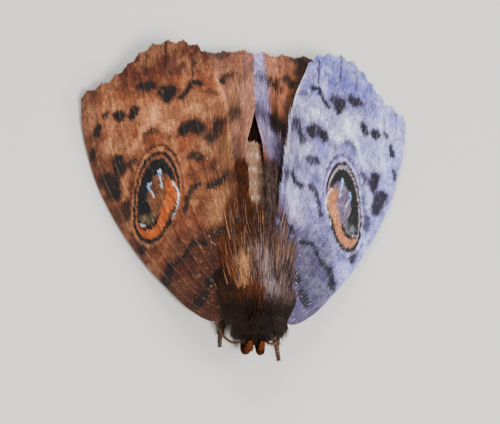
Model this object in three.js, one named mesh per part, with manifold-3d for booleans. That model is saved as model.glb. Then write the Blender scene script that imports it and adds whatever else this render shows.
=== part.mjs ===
// Owl moth at rest: a still, life-size model with its wings swept back into a low tent.
// Millimetres, +Z up, the head towards -Y, the moth's own left side at +X, the feet on z = 0.
// The wings are height fields over a plan outline, so each one is a thin curved slab with its veins
// raised in its own surface. The body is lofted from named stations, the long hairs of the thorax are
// flat tapered locks joined to it, and the limbs are tapered tubes.
import * as THREE from "three";
import { mergeVertices } from "three/addons/utils/BufferGeometryUtils.js";
import Module from "manifold-3d";

const wasm = await Module();
wasm.setup();

// Driving dimensions
const FOREWING_LENGTH = 45;
const UNIT = FOREWING_LENGTH / 45;
const GAP = 0.32 * UNIT;
// Room that a solid leaves round the thorax, and round the wings for the coat and the abdomen
const THORAX_CLEARANCE = 0.46 * UNIT;
const WING_CLEARANCE = 0.6 * UNIT;
const FOOT_LEVEL = 0;
// The part's origin on the floor, under the middle of its box
const ORIGIN_Y = 10.88 * UNIT;

// A wing's slab: its thickness, how much thinner the margin is, and how far the margin bows out
const SLAB = { thickness: 0.58 * UNIT, thinned: 0.12, thinFrom: 0.8, bow: 2.4 };
// A vein's ridge: height, half width of its foot as a share of the pitch, hollow beside it as a share
// of the height, and the shares of the wing's length over which it rises and of its height that it loses
const VEIN = { height: 0.24 * UNIT, foot: 0.17, hollow: -0.25, rise: 0.25, loss: 0.55 };
// The margin's scallops, as shares of the tooth at a vein's foot and in the hollow
const SCALLOP = { foot: 0.35, hollow: -0.35, from: 0.9 };

// The tent of the forewings: height at the midline, fall towards the side, rise towards the tail
const TENT = { crown: 10.35 * UNIT, sideFall: 0.422, tailRise: 0.165, camber: 0.55 * UNIT };
const COSTA_ROLL = { share: 0.07, drop: 0.55 * UNIT };
const HINDWING_BELOW = 1.07 * UNIT;

// Plan outlines, each from the wing's root outwards, x to the side and y to the tail
const FOREWING = {
  costa: [
    [3.0, -9.2], [6.3, -11.5], [10.5, -9.2], [14.2, -5.4], [17.6, -1.5], [20.9, 3.2],
    [23.7, 7.9], [26.4, 13.5], [28.3, 19.4], [29.5, 24.6], [29.9, 29.0],
  ],
  outer: [
    [29.9, 29.0], [28.0, 30.0], [25.2, 31.3], [22.6, 33.2], [20.2, 35.5], [17.6, 36.9],
    [14.8, 37.1], [12.2, 36.5], [10.0, 35.1], [8.3, 32.6],
  ],
  inner: [[2.4, -1.0], [3.3, 3.5], [3.9, 8.5], [4.4, 13.8], [5.2, 20.2], [6.3, 27.0], [8.3, 32.6]],
  veins: 10,
  tooth: 0.75 * UNIT,
};
const HINDWING = {
  costa: [[2.4, -3.2], [7.5, -1.6], [12.5, 3.2], [17.4, 10.4], [21.6, 18.6], [24.0, 25.4]],
  outer: [
    [24.0, 25.4], [22.6, 29.2], [19.4, 32.4], [15.6, 34.0], [12.0, 35.2], [8.4, 36.8],
    [5.0, 37.6], [2.4, 37.8], [0.35, 37.3],
  ],
  inner: [
    [1.6, 1.0], [2.2, 4.5], [2.1, 9.0], [1.75, 14.5], [1.4, 19.5], [0.85, 24.0], [0.35, 28.5],
    [0.35, 33.0], [0.35, 37.3],
  ],
  veins: 8,
  tooth: 0.6 * UNIT,
};
// Height of the hindwing across the valley between the forewings: share of the way out, height
const VALLEY = {
  left: [[0, 8.1], [0.14, 7.9], [0.36, 7.15], [0.6, 8.3]],
  right: [[0, 8.1], [0.2, 7.9], [0.52, 7.2], [0.72, 7.9]],
};
const VALLEY_MARGIN = 2.8 * UNIT;

// Stations of the body: y, half width, top, underside
const THORAX = [
  [-13.3, 1.6, 8.2, 6.7],
  [-12.7, 3.6, 9.1, 5.6],
  [-11.4, 5.0, 10.0, 3.9],
  [-9.0, 5.7, 10.9, 2.8],
  [-5.5, 5.8, 11.3, 2.4],
  [-2.0, 5.3, 11.1, 2.5],
  [1.0, 4.4, 10.1, 2.9],
  [3.2, 3.3, 9.1, 3.3],
  [4.0, 1.9, 8.3, 4.2],
];
// The coat's outer surface: y, height at the midline, half width where it meets the wings
const COAT_SURFACE = [
  [-14.6, 7.5, 4.4],
  [-13.6, 9.4, 5.2],
  [-12.0, 10.9, 6.4],
  [-9.0, 12.0, 7.0],
  [-5.5, 12.4, 7.0],
  [-2.0, 12.2, 6.4],
  [1.0, 11.3, 5.4],
  [4.0, 10.2, 4.4],
  [8.0, 9.2, 3.6],
  [11.0, 8.8, 3.6],
];
const COAT = {
  overWing: 0.88 * UNIT,
  thickness: 0.64 * UNIT,
  sink: 1.1 * UNIT,
  cover: 0.3,
  rim: 0.62,
  tip: 0.1,
  segments: 4,
  seed: 7,
};
// Rows of locks on the back: y of the roots, half of the row's width, locks, length, width, heading
// of the outermost lock away from straight back (or, with forward, straight ahead), in degrees
const BACK_ROWS = [
  { y: -11.6, reach: 3.3, count: 5, length: 2.9, width: 2.3, splay: 50, forward: true },
  { y: -11.0, reach: 4.4, count: 6, length: 4.8, width: 2.5, splay: 40 },
  { y: -8.2, reach: 4.9, count: 7, length: 5.8, width: 2.6, splay: 30 },
  { y: -5.0, reach: 4.8, count: 7, length: 6.6, width: 2.6, splay: 20 },
  { y: -1.8, reach: 3.6, count: 6, length: 7.2, width: 2.4, splay: 12 },
  { y: 1.2, reach: 1.9, count: 4, length: 6.4, width: 2.1, splay: 13 },
];
// Rows of locks on each flank below the wings: angle below level, y of the roots, length, width
const FLANK_ROWS = [
  { angle: -13, ys: [-11.6, -8.6, -5.6], length: 4.6, width: 2.2 },
  { angle: -31, ys: [-10.2, -7.2, -4.2], length: 4.4, width: 2.2 },
];
const ABDOMEN = [
  [4.35, 1.7, 7.9, 4.4],
  [5.2, 2.9, 7.6, 3.0],
  [9.0, 3.25, 6.75, 2.2],
  [14.0, 3.05, 6.35, 2.0],
  [19.0, 2.5, 5.9, 2.1],
  [23.0, 1.6, 5.2, 2.5],
  [25.2, 0.75, 4.6, 3.0],
  [25.9, 0.25, 4.2, 3.5],
];
const ABDOMEN_RINGS = 8;
const RING_DEPTH = 0.055;
const HEAD = { centre: [0, -12.9, 5.0], radii: [2.9, 2.15, 2.35] };
const EYE = { centre: [2.62, -13.1, 5.1], radius: 1.35 };

// Joins and cuts
function solidOf(geometry) {
  const bare = new THREE.BufferGeometry();
  bare.setAttribute("position", geometry.getAttribute("position"));
  if (geometry.index) bare.setIndex(geometry.index);
  const merged = mergeVertices(bare, 1e-4);
  return new wasm.Manifold(
    new wasm.Mesh({
      numProp: 3,
      vertProperties: new Float32Array(merged.attributes.position.array),
      triVerts: new Uint32Array(merged.index.array),
    }),
  );
}

function solidFrom(points, triangles) {
  return new wasm.Manifold(
    new wasm.Mesh({
      numProp: 3,
      vertProperties: new Float32Array(points.flat()),
      triVerts: new Uint32Array(triangles.flat()),
    }),
  );
}

function largestOf(solid) {
  return solid.decompose().reduce((a, b) => (b.volume() > a.volume() ? b : a));
}

function geometryOf(solid) {
  const mesh = solid.getMesh();
  const geometry = new THREE.BufferGeometry();
  geometry.setAttribute("position", new THREE.BufferAttribute(new Float32Array(mesh.vertProperties), 3));
  geometry.setIndex(new THREE.BufferAttribute(new Uint32Array(mesh.triVerts), 1));
  geometry.computeVertexNormals();
  return geometry;
}

// Curves and heights
function splineThrough(points) {
  const curve = new THREE.SplineCurve(points.map(([x, y]) => new THREE.Vector2(x * UNIT, y * UNIT)));
  curve.arcLengthDivisions = 400;
  return curve;
}

function smooth(share) {
  const t = Math.min(1, Math.max(0, share));
  return t * t * (3 - 2 * t);
}

// Value of a table of [place, value] rows, eased between its rows
function tableAt(rows, place) {
  if (place <= rows[0][0]) return rows[0][1];
  for (let i = 1; i < rows.length; i++) {
    const [a, va] = rows[i - 1];
    const [b, vb] = rows[i];
    if (place <= b) return va + (vb - va) * smooth((place - a) / (b - a));
  }
  return rows[rows.length - 1][1];
}

function tentHeight(x, y) {
  return TENT.crown - TENT.sideFall * x + TENT.tailRise * y;
}

// The forewing's top surface: the tent, a light camber, and the leading edge rolled down
function forewingHeight(x, y, s, t) {
  const camber = TENT.camber * Math.sin(Math.PI * s) * Math.sin(Math.PI * Math.min(1, 0.15 + t * 0.8));
  const roll = COSTA_ROLL.drop * Math.max(0, 1 - s / COSTA_ROLL.share) ** 2;
  return tentHeight(x, y) + camber - roll;
}

const forewingInner = splineThrough(FOREWING.inner);
const innerRows = forewingInner.getPoints(80).map((p) => [p.y, p.x]);

// The hindwing's top surface: under the forewing it follows the tent, and between the forewings
// it sinks into a valley with one soft fold on each side of the midline
function hindwingHeight(side) {
  const rows = VALLEY[side].map(([place, z]) => [place, z * UNIT]);
  const [lastPlace, lastHeight] = rows[rows.length - 1];
  return (x, y) => {
    const reach = tableAt(innerRows, y) + VALLEY_MARGIN;
    const share = x / reach;
    if (share >= 1) return tentHeight(x, y) - HINDWING_BELOW;
    if (share <= lastPlace) return tableAt(rows, share);
    const edge = tentHeight(reach, y) - HINDWING_BELOW;
    return lastHeight + (edge - lastHeight) * smooth((share - lastPlace) / (1 - lastPlace));
  };
}

// Wings
// Columns across the wing: two edges, and for each vein its crest, its two feet and the hollow beside it
function wingColumns(veins) {
  const pitch = 1 / veins;
  const columns = [{ s: 0, crest: 0, margin: 0 }];
  for (let i = 0; i < veins; i++) {
    const middle = (i + 0.5) * pitch;
    columns.push({ s: middle - VEIN.foot * pitch, crest: 0, margin: SCALLOP.foot });
    columns.push({ s: middle, crest: 1, margin: 1 });
    columns.push({ s: middle + VEIN.foot * pitch, crest: 0, margin: SCALLOP.foot });
    if (i < veins - 1) columns.push({ s: (i + 1) * pitch, crest: VEIN.hollow, margin: SCALLOP.hollow });
  }
  columns.push({ s: 1, crest: 0, margin: 0 });
  return columns;
}

// Plan place of a share s across the wing and t along it; the scallops point away from the wing's root
function wingPlan(wing) {
  const costa = splineThrough(wing.costa);
  const inner = splineThrough(wing.inner);
  const outer = splineThrough(wing.outer);
  const apex = costa.getPointAt(1);
  const tornus = inner.getPointAt(1);
  return (s, t, margin) => {
    const a = costa.getPointAt(t);
    const b = inner.getPointAt(t);
    const edge = outer.getPointAt(s);
    const bulge = t ** SLAB.bow;
    const x = (1 - s) * a.x + s * b.x + bulge * (edge.x - (1 - s) * apex.x - s * tornus.x);
    const y = (1 - s) * a.y + s * b.y + bulge * (edge.y - (1 - s) * apex.y - s * tornus.y);
    const out = new THREE.Vector2(edge.x - 0.6 * a.x, edge.y + 2 * UNIT).normalize();
    const tooth = wing.tooth * margin * smooth((t - SCALLOP.from) / (1 - SCALLOP.from));
    return [x + out.x * tooth, y + out.y * tooth];
  };
}

// A closed slab over the plan grid, with both faces split into triangles alike. Where it grows, to
// cut its neighbours clear of the wing, its rim also moves out from the middle of the plan.
const INSIDE = 0.92;
const WING_ROWS = 9;
function wingSlab(wing, height, mirrored, grow = 0) {
  const columns = wingColumns(wing.veins);
  const plan = wingPlan(wing);
  const sign = mirrored ? -1 : 1;
  const top = [];
  const bottom = [];
  for (const column of columns) {
    for (let j = 0; j <= WING_ROWS; j++) {
      const t = j / WING_ROWS;
      const [x, y] = plan(column.s, t, column.margin);
      const [inX, inY] = plan(0.5 + INSIDE * (column.s - 0.5), 0.5 + INSIDE * (t - 0.5), 0);
      const onRim = column.s === 0 || column.s === 1 || j === 0 || j === WING_ROWS;
      const widen = onRim ? grow / Math.hypot(x - inX, y - inY) : 0;
      const ridge = VEIN.height * column.crest * smooth(t / VEIN.rise) * (1 - VEIN.loss * t);
      const z = height(x, y, column.s, t) + ridge;
      const thin = 1 - SLAB.thinned * smooth((t - SLAB.thinFrom) / (1 - SLAB.thinFrom));
      const place = [sign * (x + widen * (x - inX)), y + widen * (y - inY)];
      top.push([...place, z + grow]);
      bottom.push([...place, z - SLAB.thickness * thin - ridge - grow]);
    }
  }
  const across = columns.length;
  const along = WING_ROWS + 1;
  const at = (i, j) => i * along + j;
  const lower = top.length;
  const faces = [];
  const quad = (a, b, c, d) => faces.push([a, b, c], [a, c, d]);
  for (let i = 0; i < across - 1; i++) {
    for (let j = 0; j < along - 1; j++) {
      quad(at(i, j), at(i, j + 1), at(i + 1, j + 1), at(i + 1, j));
      quad(lower + at(i, j), lower + at(i + 1, j), lower + at(i + 1, j + 1), lower + at(i, j + 1));
    }
  }
  const rim = [];
  for (let j = 0; j < along - 1; j++) rim.push(at(0, j));
  for (let i = 0; i < across - 1; i++) rim.push(at(i, along - 1));
  for (let j = along - 1; j > 0; j--) rim.push(at(across - 1, j));
  for (let i = across - 1; i > 0; i--) rim.push(at(i, 0));
  rim.forEach((a, k) => {
    const b = rim[(k + 1) % rim.length];
    quad(a, lower + a, lower + b, b);
  });
  if (mirrored) faces.forEach((face) => face.reverse());
  return solidFrom([...top, ...bottom], faces);
}

// Body lofts
function stationAt(stations, y) {
  const value = (k) => tableAt(stations.map((row) => [row[0] * UNIT, row[k] * UNIT]), y);
  return { halfWidth: value(1), top: value(2), under: value(3) };
}

function loft(stations, ys, sides, grow = 0, ring = () => 1) {
  const points = [];
  for (const y of ys) {
    const { halfWidth, top, under } = stationAt(stations, y);
    const swell = ring(y);
    for (let k = 0; k < sides; k++) {
      const angle = (2 * Math.PI * k) / sides;
      const x = (halfWidth * swell + grow) * Math.cos(angle);
      const z = (top + under) / 2 + (((top - under) / 2) * swell + grow) * Math.sin(angle);
      points.push([x, y, z]);
    }
  }
  const faces = [];
  const rings = ys.length;
  for (let i = 0; i < rings - 1; i++) {
    for (let k = 0; k < sides; k++) {
      const next = (k + 1) % sides;
      const a = i * sides + k;
      const b = i * sides + next;
      faces.push([a, b, b + sides], [a, b + sides, a + sides]);
    }
  }
  const cap = (i, outward) => {
    const { top, under } = stationAt(stations, ys[i]);
    points.push([0, ys[i] + outward * (0.35 * UNIT + grow), (top + under) / 2]);
    const tip = points.length - 1;
    for (let k = 0; k < sides; k++) {
      const a = i * sides + k;
      const b = i * sides + ((k + 1) % sides);
      faces.push(outward < 0 ? [tip, b, a] : [tip, a, b]);
    }
  };
  cap(0, -1);
  cap(rings - 1, 1);
  return solidFrom(points, faces.map(([a, b, c]) => [a, c, b]));
}

function evenly(from, to, count) {
  return Array.from({ length: count + 1 }, (_, i) => (from + ((to - from) * i) / count) * UNIT);
}

function ellipsoid([x, y, z], [rx, ry, rz], across = 20, down = 14) {
  const geometry = new THREE.SphereGeometry(1, across, down);
  geometry.scale(rx * UNIT, ry * UNIT, rz * UNIT);
  geometry.translate(x * UNIT, y * UNIT, z * UNIT);
  return solidOf(geometry);
}

// A tapered tube along a smooth route, with a radius for each named point of it
function limb(route, sides, steps) {
  const curve = new THREE.CatmullRomCurve3(
    route.map(([x, y, z]) => new THREE.Vector3(x * UNIT, y * UNIT, z * UNIT)),
    false,
    "centripetal",
  );
  const radii = route.map((row, i) => [i / (route.length - 1), row[3] * UNIT]);
  const points = [];
  let across = new THREE.Vector3(0, 0, 1);
  for (let i = 0; i <= steps; i++) {
    const t = i / steps;
    const centre = curve.getPoint(t);
    const along = curve.getTangent(t);
    across = across.sub(along.clone().multiplyScalar(across.dot(along))).normalize();
    const third = new THREE.Vector3().crossVectors(along, across);
    const radius = tableAt(radii, t);
    for (let k = 0; k < sides; k++) {
      const angle = (2 * Math.PI * (k + 0.5)) / sides;
      const p = centre
        .clone()
        .addScaledVector(across, radius * Math.cos(angle))
        .addScaledVector(third, radius * Math.sin(angle));
      points.push([p.x, p.y, p.z]);
    }
  }
  const faces = [];
  for (let i = 0; i < steps; i++) {
    for (let k = 0; k < sides; k++) {
      const a = i * sides + k;
      const b = i * sides + ((k + 1) % sides);
      faces.push([a, b, b + sides], [a, b + sides, a + sides]);
    }
  }
  for (let k = 1; k < sides - 1; k++) {
    faces.push([0, k + 1, k]);
    faces.push([steps * sides, steps * sides + k, steps * sides + k + 1]);
  }
  return solidFrom(points, faces);
}

function mirror(route) {
  return route.map(([x, y, z, r]) => [-x, y, z, r]);
}

// Everything below the floor is cut away, which leaves a small flat under each foot
function onFloor(solid) {
  return solid.trimByPlane([0, 0, 1], FOOT_LEVEL);
}

// Routes of the limbs on the moth's left side: x, y, z, radius
const ANTENNA = [
  [1.5, -14.3, 6.5, 0.34], [2.5, -14.95, 5.4, 0.33], [3.9, -14.3, 3.7, 0.32], [5.3, -12.3, 2.7, 0.31],
  [7.1, -8.4, 2.3, 0.3], [9.7, -3.2, 2.2, 0.29], [12.7, 2.2, 2.0, 0.27], [15.6, 7.4, 1.7, 0.22],
];
const PALP = [
  [1.2, -13.6, 2.7, 0.5], [1.25, -15.0, 2.7, 0.62], [1.25, -15.85, 3.8, 0.66], [1.15, -16.05, 5.2, 0.55],
  [1.05, -15.9, 6.4, 0.36], [1.0, -15.6, 7.2, 0.2],
];
const PROBOSCIS = {
  turns: 1.6,
  radius: 0.85,
  thickness: 0.27,
  inward: 0.72,
  thinned: 0.45,
  centre: [0, -14.95, 3.0],
  start: Math.PI * 0.55,
  places: 21,
};
const LEGS = {
  leg_front_left: [
    [1.9, -9.8, 2.9, 0.85], [3.1, -10.7, 1.9, 0.8], [4.3, -10.8, 1.6, 0.62], [4.6, -12.2, 1.1, 0.55],
    [4.8, -13.7, 0.48, 0.42], [5.0, -15.1, 0.2, 0.36], [5.2, -16.4, 0.18, 0.3],
  ],
  leg_front_right: [
    [-1.9, -9.8, 2.9, 0.85], [-3.2, -10.4, 1.9, 0.8], [-4.3, -9.9, 1.6, 0.62], [-4.6, -11.0, 1.1, 0.55],
    [-4.7, -12.2, 0.48, 0.42], [-4.8, -13.3, 0.2, 0.36], [-4.8, -14.4, 0.18, 0.3],
  ],
  leg_middle_left: [
    [2.4, -5.8, 2.9, 0.9], [4.4, -4.9, 2.3, 0.85], [7.0, -4.2, 2.9, 0.65], [8.6, -2.6, 1.7, 0.58],
    [10.0, -0.8, 0.45, 0.45], [11.2, 1.0, 0.2, 0.38], [12.2, 2.8, 0.18, 0.3],
  ],
  leg_hind_left: [
    [2.1, -1.6, 3.2, 0.9], [4.3, 1.2, 2.5, 0.88], [6.3, 4.6, 3.0, 0.68], [7.0, 9.2, 1.7, 0.6],
    [7.4, 13.6, 0.5, 0.48], [7.7, 17.0, 0.2, 0.4], [7.9, 20.2, 0.18, 0.3],
  ],
};
LEGS.leg_middle_right = mirror(LEGS.leg_middle_left);
LEGS.leg_hind_right = mirror(LEGS.leg_hind_left);

// The thorax's core and what clears it
const THORAX_ROWS = evenly(-13.3, 4.0, 18);
const THORAX_SIDES = 24;
const thoraxCore = loft(THORAX, THORAX_ROWS, THORAX_SIDES);
const thoraxRoom = loft(THORAX, THORAX_ROWS, THORAX_SIDES, THORAX_CLEARANCE);

// Seeded random numbers from 0 to 1
function makeDraw(seed) {
  let state = seed;
  return () => {
    state = (state * 1664525 + 1013904223) % 4294967296;
    return state / 4294967296;
  };
}

// The coat's outer surface over the back and the wing bases, as a height over the plan
function coatHeight(x, y) {
  const value = (k) => tableAt(COAT_SURFACE.map((row) => [row[0] * UNIT, row[k] * UNIT]), y);
  const [crown, halfWidth] = [value(1), value(2)];
  const share = Math.min(1, Math.abs(x) / halfWidth);
  const overWing = tentHeight(Math.abs(x), y) + COAT.overWing;
  return overWing + (crown - tentHeight(0, y) - COAT.overWing) * (1 - share ** 2) ** 0.7;
}

// A flat tapered lock along a route that gives its middle line, with the direction across it
function lock(route, width) {
  const points = [];
  for (let i = 0; i <= COAT.segments; i++) {
    const t = i / COAT.segments;
    const here = route(t);
    const along = route(Math.min(1, t + 0.02)).centre.sub(route(Math.max(0, t - 0.02)).centre).normalize();
    const side = here.across.clone().sub(along.clone().multiplyScalar(here.across.dot(along))).normalize();
    const out = new THREE.Vector3().crossVectors(side, along);
    const breadth = t < COAT.cover ? COAT.rim + ((1 - COAT.rim) * t) / COAT.cover : 1;
    const taper = 1 - (1 - COAT.tip) * smooth((t - COAT.cover) / (1 - COAT.cover)) ** 1.2;
    const half = (width / 2) * breadth * taper;
    const thick = (COAT.thickness / 2) * (1 - 0.55 * t);
    for (const [a, b] of [[half, 0], [0, thick], [-half, 0], [0, -thick]]) {
      points.push(here.centre.clone().addScaledVector(side, a).addScaledVector(out, b).toArray());
    }
  }
  const faces = [];
  for (let i = 0; i < COAT.segments; i++) {
    for (let k = 0; k < 4; k++) {
      const a = i * 4 + k;
      const b = i * 4 + ((k + 1) % 4);
      faces.push([a, b, b + 4], [a, b + 4, a + 4]);
    }
  }
  const last = COAT.segments * 4;
  faces.push([0, 2, 1], [0, 3, 2], [last, last + 1, last + 2], [last, last + 2, last + 3]);
  const solid = solidFrom(points, faces);
  return solid.volume() > 0 ? solid : solidFrom(points, faces.map(([a, b, c]) => [a, c, b]));
}

// How far below the coat's surface a lock runs: it starts inside the core and soon comes up
function depthAt(t) {
  return COAT.sink * (1 - smooth(t / 0.42));
}

function backLock(row, share, draw) {
  const x0 = (share * row.reach + 0.25 * (draw() - 0.5)) * UNIT;
  const y0 = (row.y + 0.5 * (draw() - 0.5) + (row.forward ? 0.5 : 0.8) * share ** 2) * UNIT;
  const heading = THREE.MathUtils.degToRad(row.splay * share + 7 * (draw() - 0.5));
  const bend = THREE.MathUtils.degToRad(10 * (draw() - 0.5));
  const length = row.length * (0.86 + 0.28 * draw()) * UNIT;
  const ahead = row.forward ? -1 : 1;
  const lift = (0.5 * draw() - 0.15) * UNIT;
  const route = (t) => {
    const angle = heading * (1 - 0.3 * t) + bend * t;
    const x = x0 + length * t * Math.sin(angle);
    const y = y0 + ahead * length * t * Math.cos(angle);
    const slope = (coatHeight(x + 0.2, y) - coatHeight(x - 0.2, y)) / 0.4;
    return {
      centre: new THREE.Vector3(x, y, coatHeight(x, y) - depthAt(t) + lift * smooth(t)),
      across: new THREE.Vector3(1, 0, 0.8 * slope),
    };
  };
  return lock(route, row.width * (0.85 + 0.3 * draw()) * UNIT);
}

function flankLock(row, y, sign, draw) {
  const start = THREE.MathUtils.degToRad(row.angle + 5 * (draw() - 0.5));
  const drift = THREE.MathUtils.degToRad(8 * (draw() - 0.5));
  const length = row.length * (0.86 + 0.28 * draw()) * UNIT;
  const lift = (0.45 + 0.25 * draw()) * UNIT;
  const route = (t) => {
    const place = y * UNIT + length * t;
    const { halfWidth, top, under } = stationAt(THORAX, place);
    const angle = start + drift * t;
    const grow = lift * smooth(t / 0.6) - depthAt(t);
    return {
      centre: new THREE.Vector3(
        sign * (halfWidth + grow) * Math.cos(angle),
        place,
        (top + under) / 2 + ((top - under) / 2 + grow) * Math.sin(angle),
      ),
      across: new THREE.Vector3(-sign * Math.sin(angle), 0, Math.cos(angle)),
    };
  };
  return lock(route, row.width * (0.85 + 0.3 * draw()) * UNIT);
}

function coatLocks() {
  const draw = makeDraw(COAT.seed);
  const locks = [];
  for (const row of BACK_ROWS) {
    for (let i = 0; i < row.count; i++) locks.push(backLock(row, (2 * i) / (row.count - 1) - 1, draw));
  }
  for (const row of FLANK_ROWS) {
    for (const y of row.ys) {
      locks.push(flankLock(row, y, 1, draw));
      locks.push(flankLock(row, y, -1, draw));
    }
  }
  return locks;
}

// The abdomen's girth at each place: full in the middle of a ring and drawn in where two rings meet
const segment = (ABDOMEN[ABDOMEN.length - 1][0] - ABDOMEN[0][0]) / ABDOMEN_RINGS;
function ringSwell(y) {
  const place = ((y / UNIT - ABDOMEN[0][0]) / segment) % 1;
  return 1 - RING_DEPTH * (1 - Math.sin(Math.PI * Math.min(1, Math.max(0, place)))) ** 2;
}

// The tongue, rolled up between the palps like a watch spring
function makeProboscis() {
  const { turns, radius, thickness, inward, thinned, centre, start, places } = PROBOSCIS;
  const route = Array.from({ length: places + 1 }, (_, i) => {
    const t = i / places;
    const angle = start + 2 * Math.PI * turns * t;
    const r = radius * (1 - inward * t);
    const width = thickness * (1 - thinned * t);
    return [centre[0], centre[1] - r * Math.cos(angle), centre[2] + r * Math.sin(angle), width];
  });
  return limb(route, 6, 24);
}

// Solids of each node
const SIGNS = { left: 1, right: -1 };
const solids = {};
const forewingRoom = [];
const hindwingRoom = [];
for (const [side, sign] of Object.entries(SIGNS)) {
  const mirrored = sign < 0;
  const forewing = wingSlab(FOREWING, forewingHeight, mirrored);
  const hindwing = wingSlab(HINDWING, hindwingHeight(side), mirrored);
  solids[`forewing_${side}`] = largestOf(forewing.subtract(thoraxRoom));
  solids[`hindwing_${side}`] = largestOf(hindwing.subtract(thoraxRoom));
  forewingRoom.push(wingSlab(FOREWING, forewingHeight, mirrored, WING_CLEARANCE));
  hindwingRoom.push(wingSlab(HINDWING, hindwingHeight(side), mirrored, WING_CLEARANCE));
}
const head = ellipsoid(HEAD.centre, HEAD.radii, 18, 12).subtract(thoraxRoom);
const eyeBall = (sign, grow) => {
  const [x, y, z] = EYE.centre;
  return ellipsoid([sign * x, y, z], Array(3).fill(EYE.radius + grow / UNIT), 14, 10);
};
const eyeRoom = Object.values(SIGNS).map((sign) => eyeBall(sign, GAP));
solids.head = largestOf(head.subtract(eyeRoom[0]).subtract(eyeRoom[1]));
for (const [side, sign] of Object.entries(SIGNS)) {
  solids[`eye_${side}`] = largestOf(eyeBall(sign, 0).subtract(thoraxRoom));
}
solids.abdomen = largestOf(
  loft(ABDOMEN, evenly(4.35, 25.9, 26), 16, 0, ringSwell)
    .subtract(hindwingRoom[0])
    .subtract(hindwingRoom[1])
    .subtract(thoraxRoom),
);
const wingRoom = [...forewingRoom, ...hindwingRoom];
const coat = coatLocks().map((one) => largestOf(wingRoom.reduce((rest, room) => rest.subtract(room), one)));
solids.thorax = largestOf(coat.reduce((all, one) => all.add(one), thoraxCore));

const headRoom = ellipsoid(HEAD.centre, HEAD.radii.map((r) => r + GAP / UNIT), 24, 16);
const faceRoom = [headRoom, thoraxRoom, ...eyeRoom];
const clear = (solid) => largestOf(faceRoom.reduce((rest, room) => rest.subtract(room), solid));
for (const [side, sign] of Object.entries(SIGNS)) {
  const own = (route) => (sign < 0 ? mirror(route) : route);
  solids[`antenna_${side}`] = clear(limb(own(ANTENNA), 6, 18));
  solids[`palp_${side}`] = clear(limb(own(PALP), 8, 10));
}
solids.proboscis = largestOf(makeProboscis().subtract(headRoom));
for (const [name, route] of Object.entries(LEGS)) {
  solids[name] = largestOf(onFloor(limb(route, 7, 16).subtract(thoraxRoom)));
}

// The part's materials, by what a node's name starts with
const MATERIALS = {
  forewing: new THREE.MeshStandardMaterial({ color: 0x8a6656, roughness: 0.85, metalness: 0 }),
  hindwing: new THREE.MeshStandardMaterial({ color: 0x7d5746, roughness: 0.85, metalness: 0 }),
  thorax: new THREE.MeshStandardMaterial({ color: 0x4a2c1c, roughness: 0.95, metalness: 0 }),
  abdomen: new THREE.MeshStandardMaterial({ color: 0x8a6844, roughness: 0.95, metalness: 0 }),
  head: new THREE.MeshStandardMaterial({ color: 0x2a1a12, roughness: 0.95, metalness: 0 }),
  eye: new THREE.MeshStandardMaterial({ color: 0x120c08, roughness: 0.25, metalness: 0 }),
  palp: new THREE.MeshStandardMaterial({ color: 0xa8602c, roughness: 0.9, metalness: 0 }),
  proboscis: new THREE.MeshStandardMaterial({ color: 0x3a2010, roughness: 0.6, metalness: 0 }),
  antenna: new THREE.MeshStandardMaterial({ color: 0x3c281a, roughness: 0.8, metalness: 0 }),
  leg: new THREE.MeshStandardMaterial({ color: 0x5a4232, roughness: 0.9, metalness: 0 }),
};

const moth = new THREE.Group();
moth.position.set(0, -ORIGIN_Y, 0);
for (const [name, solid] of Object.entries(solids)) {
  const mesh = new THREE.Mesh(geometryOf(solid), MATERIALS[name.split("_")[0]]);
  mesh.name = name;
  moth.add(mesh);
}

export default moth;
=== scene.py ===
import math
from collections import namedtuple

import bpy
import numpy as np
from mathutils import Matrix, Vector


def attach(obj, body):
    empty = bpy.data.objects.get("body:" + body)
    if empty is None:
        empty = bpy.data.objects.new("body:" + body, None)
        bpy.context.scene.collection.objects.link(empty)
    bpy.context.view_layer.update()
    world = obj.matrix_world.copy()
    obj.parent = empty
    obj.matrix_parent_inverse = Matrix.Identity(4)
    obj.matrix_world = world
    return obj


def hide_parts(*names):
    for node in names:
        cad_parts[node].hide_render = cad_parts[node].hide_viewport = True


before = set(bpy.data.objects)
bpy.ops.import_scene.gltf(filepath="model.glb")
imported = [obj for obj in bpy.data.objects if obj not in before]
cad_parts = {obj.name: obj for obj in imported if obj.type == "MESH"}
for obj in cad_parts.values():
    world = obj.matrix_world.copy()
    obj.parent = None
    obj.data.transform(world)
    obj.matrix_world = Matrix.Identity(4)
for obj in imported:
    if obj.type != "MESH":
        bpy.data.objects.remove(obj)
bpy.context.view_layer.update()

# Sizes are in millimetres in the moth's own frame, and MM turns them into metres.
# +Z is up, the head is towards -Y, and the moth's own left side is at +X.
MM = 0.001
ORIGIN_Y = 10.88
SIDES = {"left": 1, "right": -1}
SEED = 11

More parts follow.
